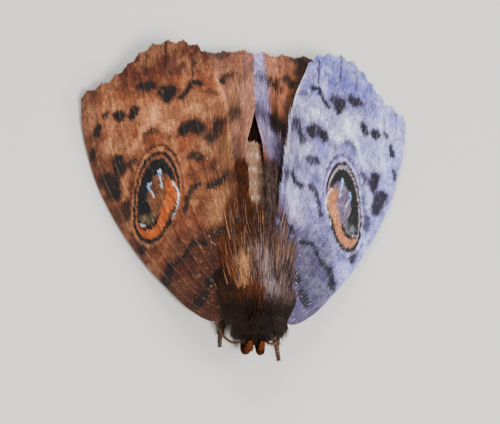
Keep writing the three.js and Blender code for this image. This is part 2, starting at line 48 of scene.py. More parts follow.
# The resting wings: one low tent over the solids' outlines, with hindwings that close past the midline
TENT_CROWN, TENT_FALL, TENT_RISE, TENT_CAMBER = 10.35, 0.422, 0.165, 0.55
COSTA_ROLL_SHARE, COSTA_ROLL_DROP = 0.07, 0.55
HINDWING_BELOW = 1.07
VEIN_HEIGHT = 0.24
SKIN_BELOW = 0.14
MARGIN_INSET = 0.42
FLOOR_CLEARANCE = 0.01
FOREWING = {
    "costa": [
        (3.0, -9.2), (6.3, -11.5), (10.5, -9.2), (14.2, -5.4), (17.6, -1.5), (20.9, 3.2),
        (23.7, 7.9), (26.4, 13.5), (28.3, 19.4), (29.5, 24.6), (29.9, 29.0),
    ],
    "outer": [
        (29.9, 29.0), (28.0, 30.0), (25.2, 31.3), (22.6, 33.2), (20.2, 35.5), (17.6, 36.9),
        (14.8, 37.1), (12.2, 36.5), (10.0, 35.1), (8.3, 32.6),
    ],
    "inner": [(2.4, -1.0), (3.3, 3.5), (3.9, 8.5), (4.4, 13.8), (5.2, 20.2), (6.3, 27.0), (8.3, 32.6)],
    "veins": 10,
    "tooth": 0.5,
}
HINDWING = {
    "costa": [(2.4, -3.2), (7.5, -1.6), (12.5, 3.2), (17.4, 10.4), (21.6, 18.6), (24.0, 25.4)],
    "outer": [
        (24.0, 25.4), (22.6, 29.2), (19.4, 32.4), (15.6, 34.0), (12.0, 35.2), (8.4, 36.8),
        (5.0, 37.6), (2.4, 37.8), (-0.15, 37.3),
    ],
    "inner": [
        (1.6, 1.0), (2.2, 4.5), (2.1, 9.0), (1.75, 14.5), (1.4, 19.5), (0.4, 23.8), (-0.1, 26.8),
        (-0.15, 32.0), (-0.15, 37.3),
    ],
    "veins": 8,
    "tooth": 0.4,
}
VALLEY = {
    "left": [(0, 8.1), (0.14, 7.9), (0.36, 7.15), (0.6, 8.3)],
    "right": [(0, 8.1), (0.2, 7.9), (0.52, 7.2), (0.72, 7.9)],
}
VALLEY_MARGIN = 2.8

# Body stations: y, half width, top, underside
THORAX = [
    (-13.3, 1.6, 8.2, 6.7), (-12.7, 3.6, 9.1, 5.6), (-11.4, 5.0, 10.0, 3.9), (-9.0, 5.7, 10.9, 2.8),
    (-5.5, 5.8, 11.3, 2.4), (-2.0, 5.3, 11.1, 2.5), (1.0, 4.4, 10.1, 2.9), (3.2, 3.3, 9.1, 3.3),
    (4.0, 1.9, 8.3, 4.2),
]
ABDOMEN = [
    (4.35, 1.7, 7.9, 4.4), (5.2, 2.9, 7.6, 3.0), (9.0, 3.25, 6.75, 2.2), (14.0, 3.05, 6.35, 2.0),
    (19.0, 2.5, 5.9, 2.1), (23.0, 1.6, 5.2, 2.5), (25.2, 0.75, 4.6, 3.0), (25.9, 0.25, 4.2, 3.5),
]
ABDOMEN_RINGS = 8
HEAD_CENTRE, HEAD_RADII = (0, -12.9, 5.0), (2.9, 2.15, 2.35)
EYE_CENTRE, EYE_RADIUS = (2.62, -13.1, 5.1), 1.35
COAT_SURFACE = [
    (-14.6, 7.5, 4.4), (-13.6, 9.4, 5.2), (-12.0, 10.9, 6.4), (-9.0, 12.0, 7.0), (-5.5, 12.4, 7.0),
    (-2.0, 12.2, 6.4), (1.0, 11.3, 5.4), (4.0, 10.2, 4.4), (8.0, 9.2, 3.6), (11.0, 8.8, 3.6),
]
COAT_OVER_WING = 0.55

# Limb routes on the moth's left side: x, y, z, radius
ANTENNA = [
    (1.5, -14.3, 6.5, 0.34), (2.5, -14.95, 5.4, 0.33), (3.9, -14.3, 3.7, 0.32), (5.3, -12.3, 2.7, 0.31),
    (7.1, -8.4, 2.3, 0.3), (9.7, -3.2, 2.2, 0.29), (12.7, 2.2, 2.0, 0.27), (15.6, 7.4, 1.7, 0.22),
]
PALP = [
    (1.2, -13.6, 2.7, 0.5), (1.25, -15.0, 2.7, 0.62), (1.25, -15.85, 3.8, 0.66), (1.15, -16.05, 5.2, 0.55),
    (1.05, -15.9, 6.4, 0.36), (1.0, -15.6, 7.2, 0.2),
]
TONGUE = {"turns": 1.6, "radius": 0.85, "thickness": 0.27, "inward": 0.72, "thinned": 0.45, "places": 21}
TONGUE_CENTRE, TONGUE_START = (0, -14.95, 3.0), 0.55 * math.pi
LEGS = {
    "front_left": [
        (1.9, -9.8, 2.9, 0.85), (3.1, -10.7, 1.9, 0.8), (4.3, -10.8, 1.6, 0.62), (4.6, -12.2, 1.1, 0.55),
        (4.8, -13.7, 0.48, 0.42), (5.0, -15.1, 0.2, 0.36), (5.2, -16.4, 0.18, 0.3),
    ],
    "front_right": [
        (-1.9, -9.8, 2.9, 0.85), (-3.2, -10.4, 1.9, 0.8), (-4.3, -9.9, 1.6, 0.62), (-4.6, -11.0, 1.1, 0.55),
        (-4.7, -12.2, 0.48, 0.42), (-4.8, -13.3, 0.2, 0.36), (-4.8, -14.4, 0.18, 0.3),
    ],
    "middle_left": [
        (2.4, -5.8, 2.9, 0.9), (4.4, -4.9, 2.3, 0.85), (7.0, -4.2, 2.9, 0.65), (8.6, -2.6, 1.7, 0.58),
        (10.0, -0.8, 0.45, 0.45), (11.2, 1.0, 0.2, 0.38), (12.2, 2.8, 0.18, 0.3),
    ],
    "hind_left": [
        (2.1, -1.6, 3.2, 0.9), (4.3, 1.2, 2.5, 0.88), (6.3, 4.6, 3.0, 0.68), (7.0, 9.2, 1.7, 0.6),
        (7.4, 13.6, 0.5, 0.48), (7.7, 17.0, 0.2, 0.4), (7.9, 20.2, 0.18, 0.3),
    ],
}

# The photograph's view, in the moth's own frame before its origin is moved
CAMERA_AZIMUTH, CAMERA_ELEVATION, CAMERA_ROLL = -26.0, 66.0, 27.49
CAMERA_DISTANCE = 183.5
CAMERA_TARGET = (-0.45, 7.92, 5.20)
CAMERA_LENS, SENSOR_WIDTH = 77.70, 36.0


# Curves, easing, noise and random numbers
def ease(share):
    t = np.clip(share, 0.0, 1.0)
    return t * t * (3 - 2 * t)


def ramp(value, start, end):
    """An eased share that is 0 at the start and 1 at the end, whichever of them is larger."""
    return ease((value - start) / (end - start))


def table_at(rows, column, place):
    """The table's value at each place, eased between its rows."""
    places = np.array([row[0] for row in rows], float)
    values = np.array([row[column] for row in rows], float)
    place = np.clip(place, places[0], places[-1])
    i = np.clip(np.searchsorted(places, place, side="right") - 1, 0, len(rows) - 2)
    return values[i] + (values[i + 1] - values[i]) * ramp(place, places[i], places[i + 1])


class Spline:
    """A uniform Catmull-Rom curve through points, read by its share of length."""

    def __init__(self, points, divisions=400):
        self.points = np.array(points, float)
        self.steps = np.linspace(0, 1, divisions + 1)
        along = self.raw(self.steps)
        self.lengths = np.concatenate([[0], np.cumsum(np.linalg.norm(np.diff(along, axis=0), axis=1))])

    def raw(self, t):
        last = len(self.points) - 1
        place = last * np.clip(t, 0, 1)
        i = np.minimum(np.floor(place).astype(int), last)
        w = (place - i)[:, None]
        p0 = self.points[np.maximum(i - 1, 0)]
        p1 = self.points[i]
        p2 = self.points[np.minimum(i + 1, last)]
        p3 = self.points[np.minimum(i + 2, last)]
        v0, v1 = (p2 - p0) / 2, (p3 - p1) / 2
        return (2 * p1 - 2 * p2 + v0 + v1) * w**3 + (-3 * p1 + 3 * p2 - 2 * v0 - v1) * w**2 + v0 * w + p1

    def at(self, share):
        wanted = np.clip(share, 0, 1) * self.lengths[-1]
        return self.raw(np.interp(wanted, self.lengths, self.steps))


LATTICE_SIZE = 256
LATTICE = np.random.RandomState(SEED).rand(LATTICE_SIZE, LATTICE_SIZE)


def noise(x, y, size):
    """Smooth value noise from 0 to 1, with cells of the given size."""
    u, v = np.asarray(x) / size, np.asarray(y) / size
    i, j = np.floor(u).astype(int), np.floor(v).astype(int)
    a, b = ease(u - i), ease(v - j)
    i, j = i % LATTICE_SIZE, j % LATTICE_SIZE
    i2, j2 = (i + 1) % LATTICE_SIZE, (j + 1) % LATTICE_SIZE
    low = LATTICE[i, j] * (1 - a) + LATTICE[i2, j] * a
    high = LATTICE[i, j2] * (1 - a) + LATTICE[i2, j2] * a
    return low * (1 - b) + high * b


# Each octave of the noise: weight, how much finer, how far its pattern is moved
OCTAVES = [(0.55, 1.0, (0.0, 0.0)), (0.3, 2.1, (31.7, 12.9)), (0.15, 4.3, (77.1, 51.3))]


def cloud(x, y, size):
    """Three octaves of noise, from 0 to 1."""
    return sum(weight * noise(x + dx, y + dy, size / finer) for weight, finer, (dx, dy) in OCTAVES)


def warped(place, x, y, size, amount):
    """A place pushed to and fro by noise, so that marks get natural edges."""
    return place + amount * (cloud(x, y, size) - 0.5)


def between(draw, low, high, count):
    return low + (high - low) * draw.rand(count)


def draws_for(name, offset=0):
    """Random numbers that always belong to the named layer."""
    return np.random.RandomState(SEED + offset + sum(map(ord, name)))


def draws_of_side(side, offset):
    """Random numbers that always belong to one side's layer."""
    return np.random.RandomState(SEED + offset + SIDES[side])


def unit(vectors):
    return vectors / np.maximum(np.linalg.norm(vectors, axis=-1, keepdims=True), 1e-9)


# Colours
DEEPEN = 1.22


def linear(red, green, blue):
    """A linear colour from one given as 0 to 255 on the standard display curve."""
    c = np.array([red, green, blue], float) / 255
    return np.where(c <= 0.04045, c / 12.92, ((c + 0.055) / 1.055) ** 2.4)


def deep(red, green, blue):
    """A linear colour made deeper, as scales in soft shadow look."""
    return linear(red, green, blue) ** DEEPEN


class Paint:
    """Colours of a set of places, with tints laid over one another."""

    def __init__(self, tints, ground, places):
        self.tints = tints
        self.colour = np.broadcast_to(self.tint(ground), (*np.shape(places), 3)).copy()

    def tint(self, kind):
        return self.tints[kind] if isinstance(kind, str) else kind

    def over(self, kind, share):
        """Lays a tint, named or given, over the colours by a share of 0 to 1."""
        self.colour += (self.tint(kind) - self.colour) * np.clip(share, 0, 1)[..., None]

    def shade(self, factor):
        self.colour *= np.asarray(factor)[..., None]

    def done(self):
        return np.clip(self.colour, 0, 1)


def varied(draw, colours, low, high):
    """The colours, with a lightness of its own for each tuft."""
    return np.clip(colours * between(draw, low, high, len(colours))[:, None], 0, 1)


# Meshes
def to_metres(points):
    shifted = np.array(points, float).reshape(-1, 3) - (0, ORIGIN_Y, 0)
    return (shifted * MM).astype(np.float32)


def make_piece(name, points, triangles, colours, uv, material, smooth=True):
    """A mesh piece in the part's frame, with a tint and a bake place for each point."""
    points = to_metres(points)
    triangles = np.asarray(triangles, np.int32).reshape(-1, 3)
    mesh = bpy.data.meshes.new(name)
    mesh.vertices.add(len(points))
    mesh.vertices.foreach_set("co", points.ravel())
    mesh.loops.add(triangles.size)
    mesh.loops.foreach_set("vertex_index", triangles.ravel())
    mesh.polygons.add(len(triangles))
    mesh.polygons.foreach_set("loop_start", np.arange(0, triangles.size, 3, dtype=np.int32))
    mesh.polygons.foreach_set("use_smooth", np.full(len(triangles), smooth))
    mesh.update(calc_edges=True)
    tints = mesh.color_attributes.new("Tint", "FLOAT_COLOR", "POINT")
    rgba = np.concatenate([np.clip(colours, 0, 1), np.ones((len(colours), 1))], axis=1)
    tints.data.foreach_set("color", rgba.astype(np.float32).ravel())
    bake = mesh.uv_layers.new(name="OFBake")
    bake.data.foreach_set("uv", uv[triangles.ravel()].astype(np.float32).ravel())
    mesh.materials.append(material)
    piece = bpy.data.objects.new(name, mesh)
    bpy.context.scene.collection.objects.link(piece)
    return piece


def settle(piece, slot, *nodes):
    """The piece rides on the still body and stands for the named nodes; its slot is not used."""
    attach(piece, "root")
    if nodes:
        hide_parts(*nodes)


BAKE_LOW, BAKE_HIGH = 0.02, 0.98
UPPER_BAND, LOWER_BAND = (0.51, 0.99), (0.01, 0.49)


def bake_places(u, v, band=(BAKE_LOW, BAKE_HIGH)):
    """Bake places from shares of 0 to 1, with v kept in its band of the map."""
    low, high = band
    return np.stack([BAKE_LOW + (BAKE_HIGH - BAKE_LOW) * u, low + (high - low) * v], axis=1)


def tube_faces(rings, sides):
    """Triangles of a closed tube of rings whose last two points close its ends."""
    ring_number, side_number = np.meshgrid(np.arange(rings - 1), np.arange(sides), indexing="ij")
    a = ring_number * sides + side_number
    b = ring_number * sides + (side_number + 1) % sides
    wall = np.stack([np.stack([a, b + sides, b], -1), np.stack([a, a + sides, b + sides], -1)]).reshape(-1, 3)
    k, after = np.arange(sides), (np.arange(sides) + 1) % sides
    row = (rings - 1) * sides
    start = np.stack([np.full(sides, rings * sides), k, after], -1)
    end = np.stack([np.full(sides, rings * sides + 1), row + after, row + k], -1)
    return np.concatenate([wall, start, end])


# Wing shape
forewing_inner = Spline(FOREWING["inner"])
INNER_ROWS = [(p[1], p[0]) for p in forewing_inner.raw(np.linspace(0, 1, 81))]
CAMBER_ROOT, CAMBER_SPREAD = 0.15, 0.8
VEIN_HALF, VALLEY_DIP, TOOTH_SHOULDER = 0.17, 0.25, 0.35
BULGE_POWER = 2.4
OUTWARD_LEAN, OUTWARD_BACK = 0.6, 2.0
TEETH_FROM, INSET_FROM = 0.9, 0.8
VEIN_RISE, VEIN_LOSS = 0.25, 0.55


def inner_margin(y):
    """How far from the midline the forewing's inner margin lies."""
    return table_at(INNER_ROWS, 1, y)


def tent_height(x, y):
    return TENT_CROWN - TENT_FALL * x + TENT_RISE * y


def forewing_height(x, y, s, t):
    camber = TENT_CAMBER * np.sin(np.pi * s) * np.sin(np.pi * np.minimum(1, CAMBER_ROOT + t * CAMBER_SPREAD))
    roll = COSTA_ROLL_DROP * np.maximum(0, 1 - s / COSTA_ROLL_SHARE) ** 2
    return tent_height(x, y) + camber - roll


def hindwing_height(side):
    """Heights of a hindwing: along the tent under the forewing, folded into a valley beside the body."""
    rows = VALLEY[side]

    def height(x, y, s, t):
        reach = inner_margin(y) + VALLEY_MARGIN
        under = tent_height(np.maximum(x, 0), y) - HINDWING_BELOW
        base = tent_height(reach, y) - HINDWING_BELOW
        share = x / reach
        fold_share, fold_height = rows[-1]
        rising = fold_height + (base - fold_height) * ramp(share, fold_share, 1)
        folded = np.where(share > fold_share, rising, table_at(rows, 1, share))
        return np.where(share >= 1, under, folded)

    return height


class Wing:
    """A wing's plan and its upper surface over shares s across it and t along it."""

    def __init__(self, plan, height):
        self.costa, self.inner, self.outer = (Spline(plan[k]) for k in ("costa", "inner", "outer"))
        self.veins, self.tooth, self.height = plan["veins"], plan["tooth"], height
        self.columns = self.vein_columns()

    def vein_columns(self):
        """Rows of the share across, the vein's crest and the margin's tooth."""
        pitch = 1 / self.veins
        rows = [(0, 0, 0)]
        for i in range(self.veins):
            middle = (i + 0.5) * pitch
            before, after = middle - VEIN_HALF * pitch, middle + VEIN_HALF * pitch
            rows += [(before, 0, TOOTH_SHOULDER), (middle, 1, 1), (after, 0, TOOTH_SHOULDER)]
            if i < self.veins - 1:
                rows.append(((i + 1) * pitch, -VALLEY_DIP, -TOOTH_SHOULDER))
        return rows + [(1, 0, 0)]

    def plan(self, s, t, inset=0.0):
        """Plan place of each share pair, with the margin's teeth, drawn in by the inset."""
        s, t = np.broadcast_arrays(np.asarray(s, float), np.asarray(t, float))
        shape, s, t = s.shape, s.ravel(), t.ravel()
        costa, inner, edge = self.costa.at(t), self.inner.at(t), self.outer.at(s)
        apex, tornus = self.costa.at(np.ones(1)), self.inner.at(np.ones(1))
        across = s[:, None]
        bulge = (t**BULGE_POWER)[:, None] * (edge - (1 - across) * apex - across * tornus)
        outward = unit(edge - costa * (OUTWARD_LEAN, 0) + (0, OUTWARD_BACK))
        teeth = self.tooth * table_at(self.columns, 2, s) * ramp(t, TEETH_FROM, 1)
        reach = teeth - inset * ramp(t, INSET_FROM, 1)
        place = (1 - across) * costa + across * inner + bulge + outward * reach[:, None]
        return place.reshape(*shape, 2)

    def top(self, s, t, inset=0.0):
        """Points of the upper surface, x always outwards."""
        s, t = np.broadcast_arrays(np.asarray(s, float), np.asarray(t, float))
        place = self.plan(s, t, inset)
        x, y = place[..., 0], place[..., 1]
        fade = ramp(t, 0, VEIN_RISE) * (1 - VEIN_LOSS * t)
        z = self.height(x, y, s, t) + VEIN_HEIGHT * table_at(self.columns, 1, s) * fade
        return np.stack([x, y, z], axis=-1)


forewing = Wing(FOREWING, forewing_height)

# Marks of the forewing, in plan places of the moth's right side: points, width, strength
DARK_MARKS = [
    ([(14.6, 27.6), (15.9, 27.7)], 1.9, 0.95),
    ([(15.2, 27.2), (15.3, 26.2)], 1.4, 0.95),
    ([(18.1, 29.0), (18.6, 28.8)], 1.7, 0.9),
    ([(19.5, 29.3), (19.9, 29.2)], 1.2, 0.85),
    ([(20.5, 24.9), (21.0, 23.9)], 1.35, 0.9),
    ([(23.0, 24.2), (23.3, 24.4)], 1.6, 0.95),
    ([(25.2, 24.8), (25.4, 24.4)], 1.0, 0.75),
    ([(26.4, 22.9), (26.7, 21.2)], 0.95, 0.85),
    ([(27.1, 18.6), (27.2, 17.3)], 0.9, 0.8),
    ([(9.9, 28.3), (11.2, 28.7), (11.8, 27.8), (12.3, 27.0), (13.1, 26.2)], 0.8, 0.85),
    ([(7.5, 26.4), (8.7, 27.0)], 1.0, 0.5),
    ([(10.0, 20.6), (10.8, 21.4)], 2.2, 0.95),
    ([(12.0, 20.9), (12.4, 20.3)], 1.7, 0.95),
    ([(7.0, 19.5), (8.0, 18.7)], 2.0, 0.75),
    ([(5.6, 20.9), (7.2, 20.6)], 1.1, 0.75),
    ([(5.2, 11.3), (6.4, 11.0), (7.8, 10.4)], 1.1, 0.8),
    ([(9.7, 10.9), (10.7, 10.4), (11.3, 8.6), (11.8, 6.6)], 0.9, 0.75),
    ([(9.5, 15.5), (11.0, 15.8)], 1.2, 0.75),
    ([(8.0, 0.8), (9.4, 1.2), (10.4, 1.0), (11.3, -0.4), (12.4, -1.7), (13.4, -2.5)], 0.6, 0.9),
    ([(13.4, -2.3), (14.1, -3.6), (14.2, -4.8)], 1.4, 0.98),
    ([(3.4, 3.2), (4.4, 3.0), (5.4, 2.9), (6.4, 2.2)], 1.0, 0.8),
    ([(18.3, 2.2), (18.1, 0.6)], 1.2, 0.95),
    ([(22.9, 16.6), (22.7, 14.8)], 1.7, 0.9),
    ([(24.6, 13.4), (23.6, 11.8), (23.0, 10.6)], 2.2, 0.85),
    ([(20.2, 16.2), (21.4, 15.2), (22.6, 14.0), (23.2, 12.5)], 1.1, 0.7),
    ([(21.2, 8.8), (20.9, 6.9)], 1.3, 0.7),
    ([(20.5, 15.0), (20.4, 12.0), (20.8, 9.6)], 0.6, 0.45),
    ([(16.8, 20.7), (17.7, 20.9), (18.5, 20.3)], 0.9, 0.5),
    ([(11.1, 27.6), (11.2, 30.0), (11.3, 33.8)], 0.28, 0.75),
    ([(15.7, 31.5), (15.8, 36.8)], 0.28, 0.75),
    ([(18.9, 31.0), (19.0, 34.5)], 0.22, 0.5),
    ([(4.2, -3.4), (6.0, -4.4), (7.4, -5.6)], 1.7, 0.85),
    ([(8.2, -7.4), (9.2, -8.6)], 1.5, 0.8),
]
PALE_MARKS = [
    ([(17.3, 24.8), (17.5, 22.6), (18.9, 21.4)], 1.3, 0.75),
    ([(13.6, 21.3), (15.4, 21.6)], 1.7, 0.65),
    ([(5.9, 22.6), (6.2, 26.0), (6.9, 29.0)], 1.5, 0.45),
    ([(9.4, 22.6), (10.2, 24.2), (11.8, 24.2)], 1.1, 0.5),
    ([(22.6, 18.4), (24.4, 18.8)], 2.2, 0.45),
    ([(19.4, 20.0), (21.0, 17.6)], 0.9, 0.5),
    ([(8.2, 16.4), (9.4, 17.8)], 2.2, 0.35),
    ([(5.4, 16.8), (5.4, 13.6)], 1.8, 0.35),
    ([(21.7, 12.4), (21.3, 9.8)], 0.9, 0.5),
    ([(6.2, 8.8), (7.2, 5.2)], 2.6, 0.35),
    ([(23.9, 27.0), (24.1, 22.4)], 0.5, 0.35),
]

# The eyespot: its middle line by y, half sizes across and along, and its strokes
SPOT_AXIS = [
    (2.1, 17.0), (4.5, 16.9), (6.9, 16.55), (9.2, 16.36), (11.7, 16.25), (14.5, 16.35), (16.9, 16.35),
]
SPOT_MIDDLE, SPOT_HALF = 9.5, (3.5, 7.42)
ORANGE_TOP = [(14.15, 11.1), (13.9, 10.2), (13.85, 9.3), (14.3, 8.1)]
ORANGE_HOOK = [(14.2, 8.3), (14.8, 6.8), (15.2, 5.6), (15.65, 4.35), (16.5, 3.4), (17.75, 3.4), (18.5, 3.95)]
HOOK_LINE = [(18.75, 4.6), (17.65, 4.15), (16.7, 4.75), (16.25, 5.55), (16.0, 6.35)]
IRIS_LINE = [(16.05, 6.4), (17.1, 7.7), (17.8, 9.15)]
IRIS_CENTRE, IRIS_HALF = (15.75, 9.75), (2.0, 3.75)
WHITE_ARC = [(13.8, 11.5), (13.05, 10.4), (12.85, 9.35), (13.0, 7.8), (13.4, 6.35), (13.75, 5.5)]
TOP_GLINT, TOP_STREAK = [(16.05, 13.8), (15.95, 13.1)], [(15.95, 12.9), (15.5, 10.8)]
SIDE_GLINT, SIDE_STREAK = [(17.4, 12.0), (17.75, 11.35), (17.55, 10.75)], [(17.25, 10.5), (16.75, 9.4)]
IRIS_SHADOW = [(px + 0.22, py) for px, py in IRIS_LINE]
ASHY_PATCH = [(18.2, 6.0), (17.1, 5.5), (16.7, 6.3)]

# The eyespot's thin strokes in the order in which they are laid: tint, points, width, softness, strength
SPOT_STROKES = [
    ("black", HOOK_LINE, 0.42, 0.4, 1.0),
    ("ringed", IRIS_LINE, 0.16, 0.6, 0.8),
    ("black", IRIS_SHADOW, 0.2, 0.6, 0.85),
    ("glint", TOP_GLINT, 0.56, 0.5, 1.0),
    ("white", [(16.05, 13.95), (16.05, 13.75)], 0.4, 0.6, 1.0),
    ("white", TOP_STREAK, 0.2, 0.9, 0.65),
    ("glint", SIDE_GLINT, 0.36, 0.4, 1.0),
    ("white", SIDE_GLINT[:2], 0.22, 0.5, 0.9),
    ("white", SIDE_STREAK, 0.2, 0.8, 0.6),
    ("white", [(18.65, 4.95), (18.0, 4.85)], 0.34, 0.6, 0.7),
]
MARK_HALO, MARK_CORE, MARK_STRENGTH = 1.35, 1.1, 1.15
LEFT_SHIFT, LEFT_LIFT = 0.4, ([4, 7, 10, 14, 20, 28], [1.1, 1.1, 0.7, 0.4, 0.1, 0.0])

# Zones of the forewing's ground, each from where it starts to where it is full, in plan places
TIP_ZONE, TIP_SLOPE, TIP_MIDDLE = (28.6, 31.6), 0.12, 15
INNER_ZONE_X, INNER_ZONE_Y = (12.5, 7.5), (22.0, 16.0)
BASE_ZONE_X, BASE_ZONE_Y = (18.0, 12.0), (8.0, -0.5)
BAND_START, BAND_END, BAND_INNER = (20.5, 23.0), (28.0, 25.5), (4.0, 8.0)

# The same in shares across and along the wing
COSTA_ZONE = {"right": (0.2, 0.04), "left": (0.6, 0.1)}
SEAM_ACROSS, SEAM_ALONG = (0.972, 0.992), (0.35, 0.55)
MARGIN_STREAKS, STREAK_ALONG = (0.4, 0.48), (0.82, 0.92)


def brushed(distance, width, soft):
    """How far inside a band of the given width a distance from its middle lies, from 0 to 1."""
    return ramp(distance, width * (1 + soft) / 2, width * (1 - soft) / 2)


def stroke(x, y, points, width, soft=0.45):
    """How far inside a brushed stroke each place lies, from 0 to 1."""
    curve = Spline(points).at(np.linspace(0, 1, 6 * len(points)))
    low, high = curve.min(0) - width, curve.max(0) + width
    near = (x > low[0]) & (x < high[0]) & (y > low[1]) & (y < high[1])
    found = np.zeros(np.shape(x))
    places = np.stack([x[near], y[near]], axis=-1)
    closest = np.full(len(places), np.inf)
    for a, b in zip(curve[:-1], curve[1:]):
        along = b - a
        share = np.clip((places - a) @ along / (along @ along), 0, 1)
        closest = np.minimum(closest, np.linalg.norm(places - a - share[:, None] * along, axis=1))
    found[near] = brushed(closest, width, soft)
    return found


def ring(place, middle, width, soft=0.5):
    return brushed(np.abs(place - middle), width, soft)


# The wings share one ground and their tints differ by painted light: the left wing's lilac-greys, with its
# bright costa, are a painted sheen of the cool light falling on that side, and the right wing's browns are
# the ground in warmer light
WING_TINTS = {
    "right": {
        "disc": deep(146, 84, 50), "outer": deep(100, 50, 28), "pale": deep(216, 156, 112),
        "inner": deep(104, 54, 22), "base": deep(70, 28, 8), "costa": deep(98, 60, 42),
        "mark": deep(26, 14, 11), "soft": deep(78, 42, 27), "orange": deep(184, 98, 38),
        "iris": deep(122, 78, 52), "ringed": deep(146, 92, 64), "fleck": deep(240, 200, 150),
        "glint": deep(110, 170, 220),
    },
    "left": {
        "disc": deep(140, 132, 192), "outer": deep(116, 118, 188), "pale": deep(236, 230, 255),
        "inner": deep(140, 132, 178), "base": deep(74, 66, 88), "costa": deep(172, 172, 236),
        "mark": deep(34, 24, 44), "soft": deep(92, 76, 114), "orange": deep(196, 134, 92),
        "iris": deep(126, 108, 134), "ringed": deep(168, 150, 158), "fleck": deep(240, 236, 246),
        "glint": deep(90, 160, 240),
    },
}
SPOT_TINTS = {"black": deep(12, 9, 10), "white": deep(240, 244, 250)}
IRIS_DUSK = {"right": 0.35, "left": 0.105}


def mark_places(x, y, side):
    """Plan places moved so that both wings read the right wing's marks."""
    if side == "right":
        return x, y
    return x + LEFT_SHIFT, y - np.interp(x, *LEFT_LIFT)


def spot_rings(paint, x, y, across, along):
    """The eyespot's pale, dusky and black rings, and how far inside them each place lies."""
    out = np.hypot(across, along) * (1 + 0.02 * (noise(x, y, 0.7) - 0.5))
    crescent = ramp(across, 0.3, -0.7) * ramp(along, 0.25, -0.75)
    dusty = (0.4 + 0.5 * ramp(along, 0, 1)) * (0.6 + 0.8 * noise(x, y, 0.5))
    paint.over("pale", 0.22 * ring(out, 1.09, 0.1))
    paint.over("soft", dusty * ring(out, 1.175, 0.09))
    paint.over("ringed", ramp(out, 1.01, 0.97))
    paint.over("black", ring(out, 0.995 - 0.03 * crescent, 0.1 + 0.1 * crescent))
    inside = ramp(out, 0.89, 0.86)
    paint.over("black", inside)
    return out, inside


def eyespot(paint, x, y, side):
    """The forewing's eyespot, laid over the ground colours."""
    across = (x - table_at(SPOT_AXIS, 1, y)) / SPOT_HALF[0]
    along = (y - SPOT_MIDDLE) / SPOT_HALF[1]
    out, inside = spot_rings(paint, x, y, across, along)
    ragged = 0.12 * (noise(x, y, 0.25) - 0.5)
    iris = np.hypot((x - IRIS_CENTRE[0]) / IRIS_HALF[0], (y - IRIS_CENTRE[1]) / IRIS_HALF[1]) + ragged
    lit = 0.75 + 0.5 * noise(x, y, 0.3)
    paint.over(paint.tint("iris") * lit[..., None], inside * ramp(iris, 1.03, 0.96))
    dusk = ramp(np.abs(iris - 0.5), 0.24, 0.12)
    paint.over("soft", IRIS_DUSK[side] * dusk * inside * ramp(y, 8, 11))
    paint.over("fleck", 0.22 * stroke(x, y, ASHY_PATCH, 1.2, 0.8) * noise(x, y * 0.4, 0.16))
    lit = 0.78 + 0.45 * noise(x, y, 0.28) - 0.16 * noise(x, y, 0.9)
    for points, width in ((ORANGE_TOP, 1.9), (ORANGE_HOOK, 1.45)):
        orange = stroke(x + ragged, y, points, width, 0.22) * ramp(out, 0.96, 0.93)
        paint.over(paint.tint("orange") * lit[..., None], orange)
    paint.over("white", stroke(x, y, WHITE_ARC, 0.22, 0.4) * (0.5 + 0.5 * ramp(y, 6.5, 8.5)))
    for kind, points, width, soft, strength in SPOT_STROKES:
        paint.over(kind, strength * stroke(x, y, points, width, soft))


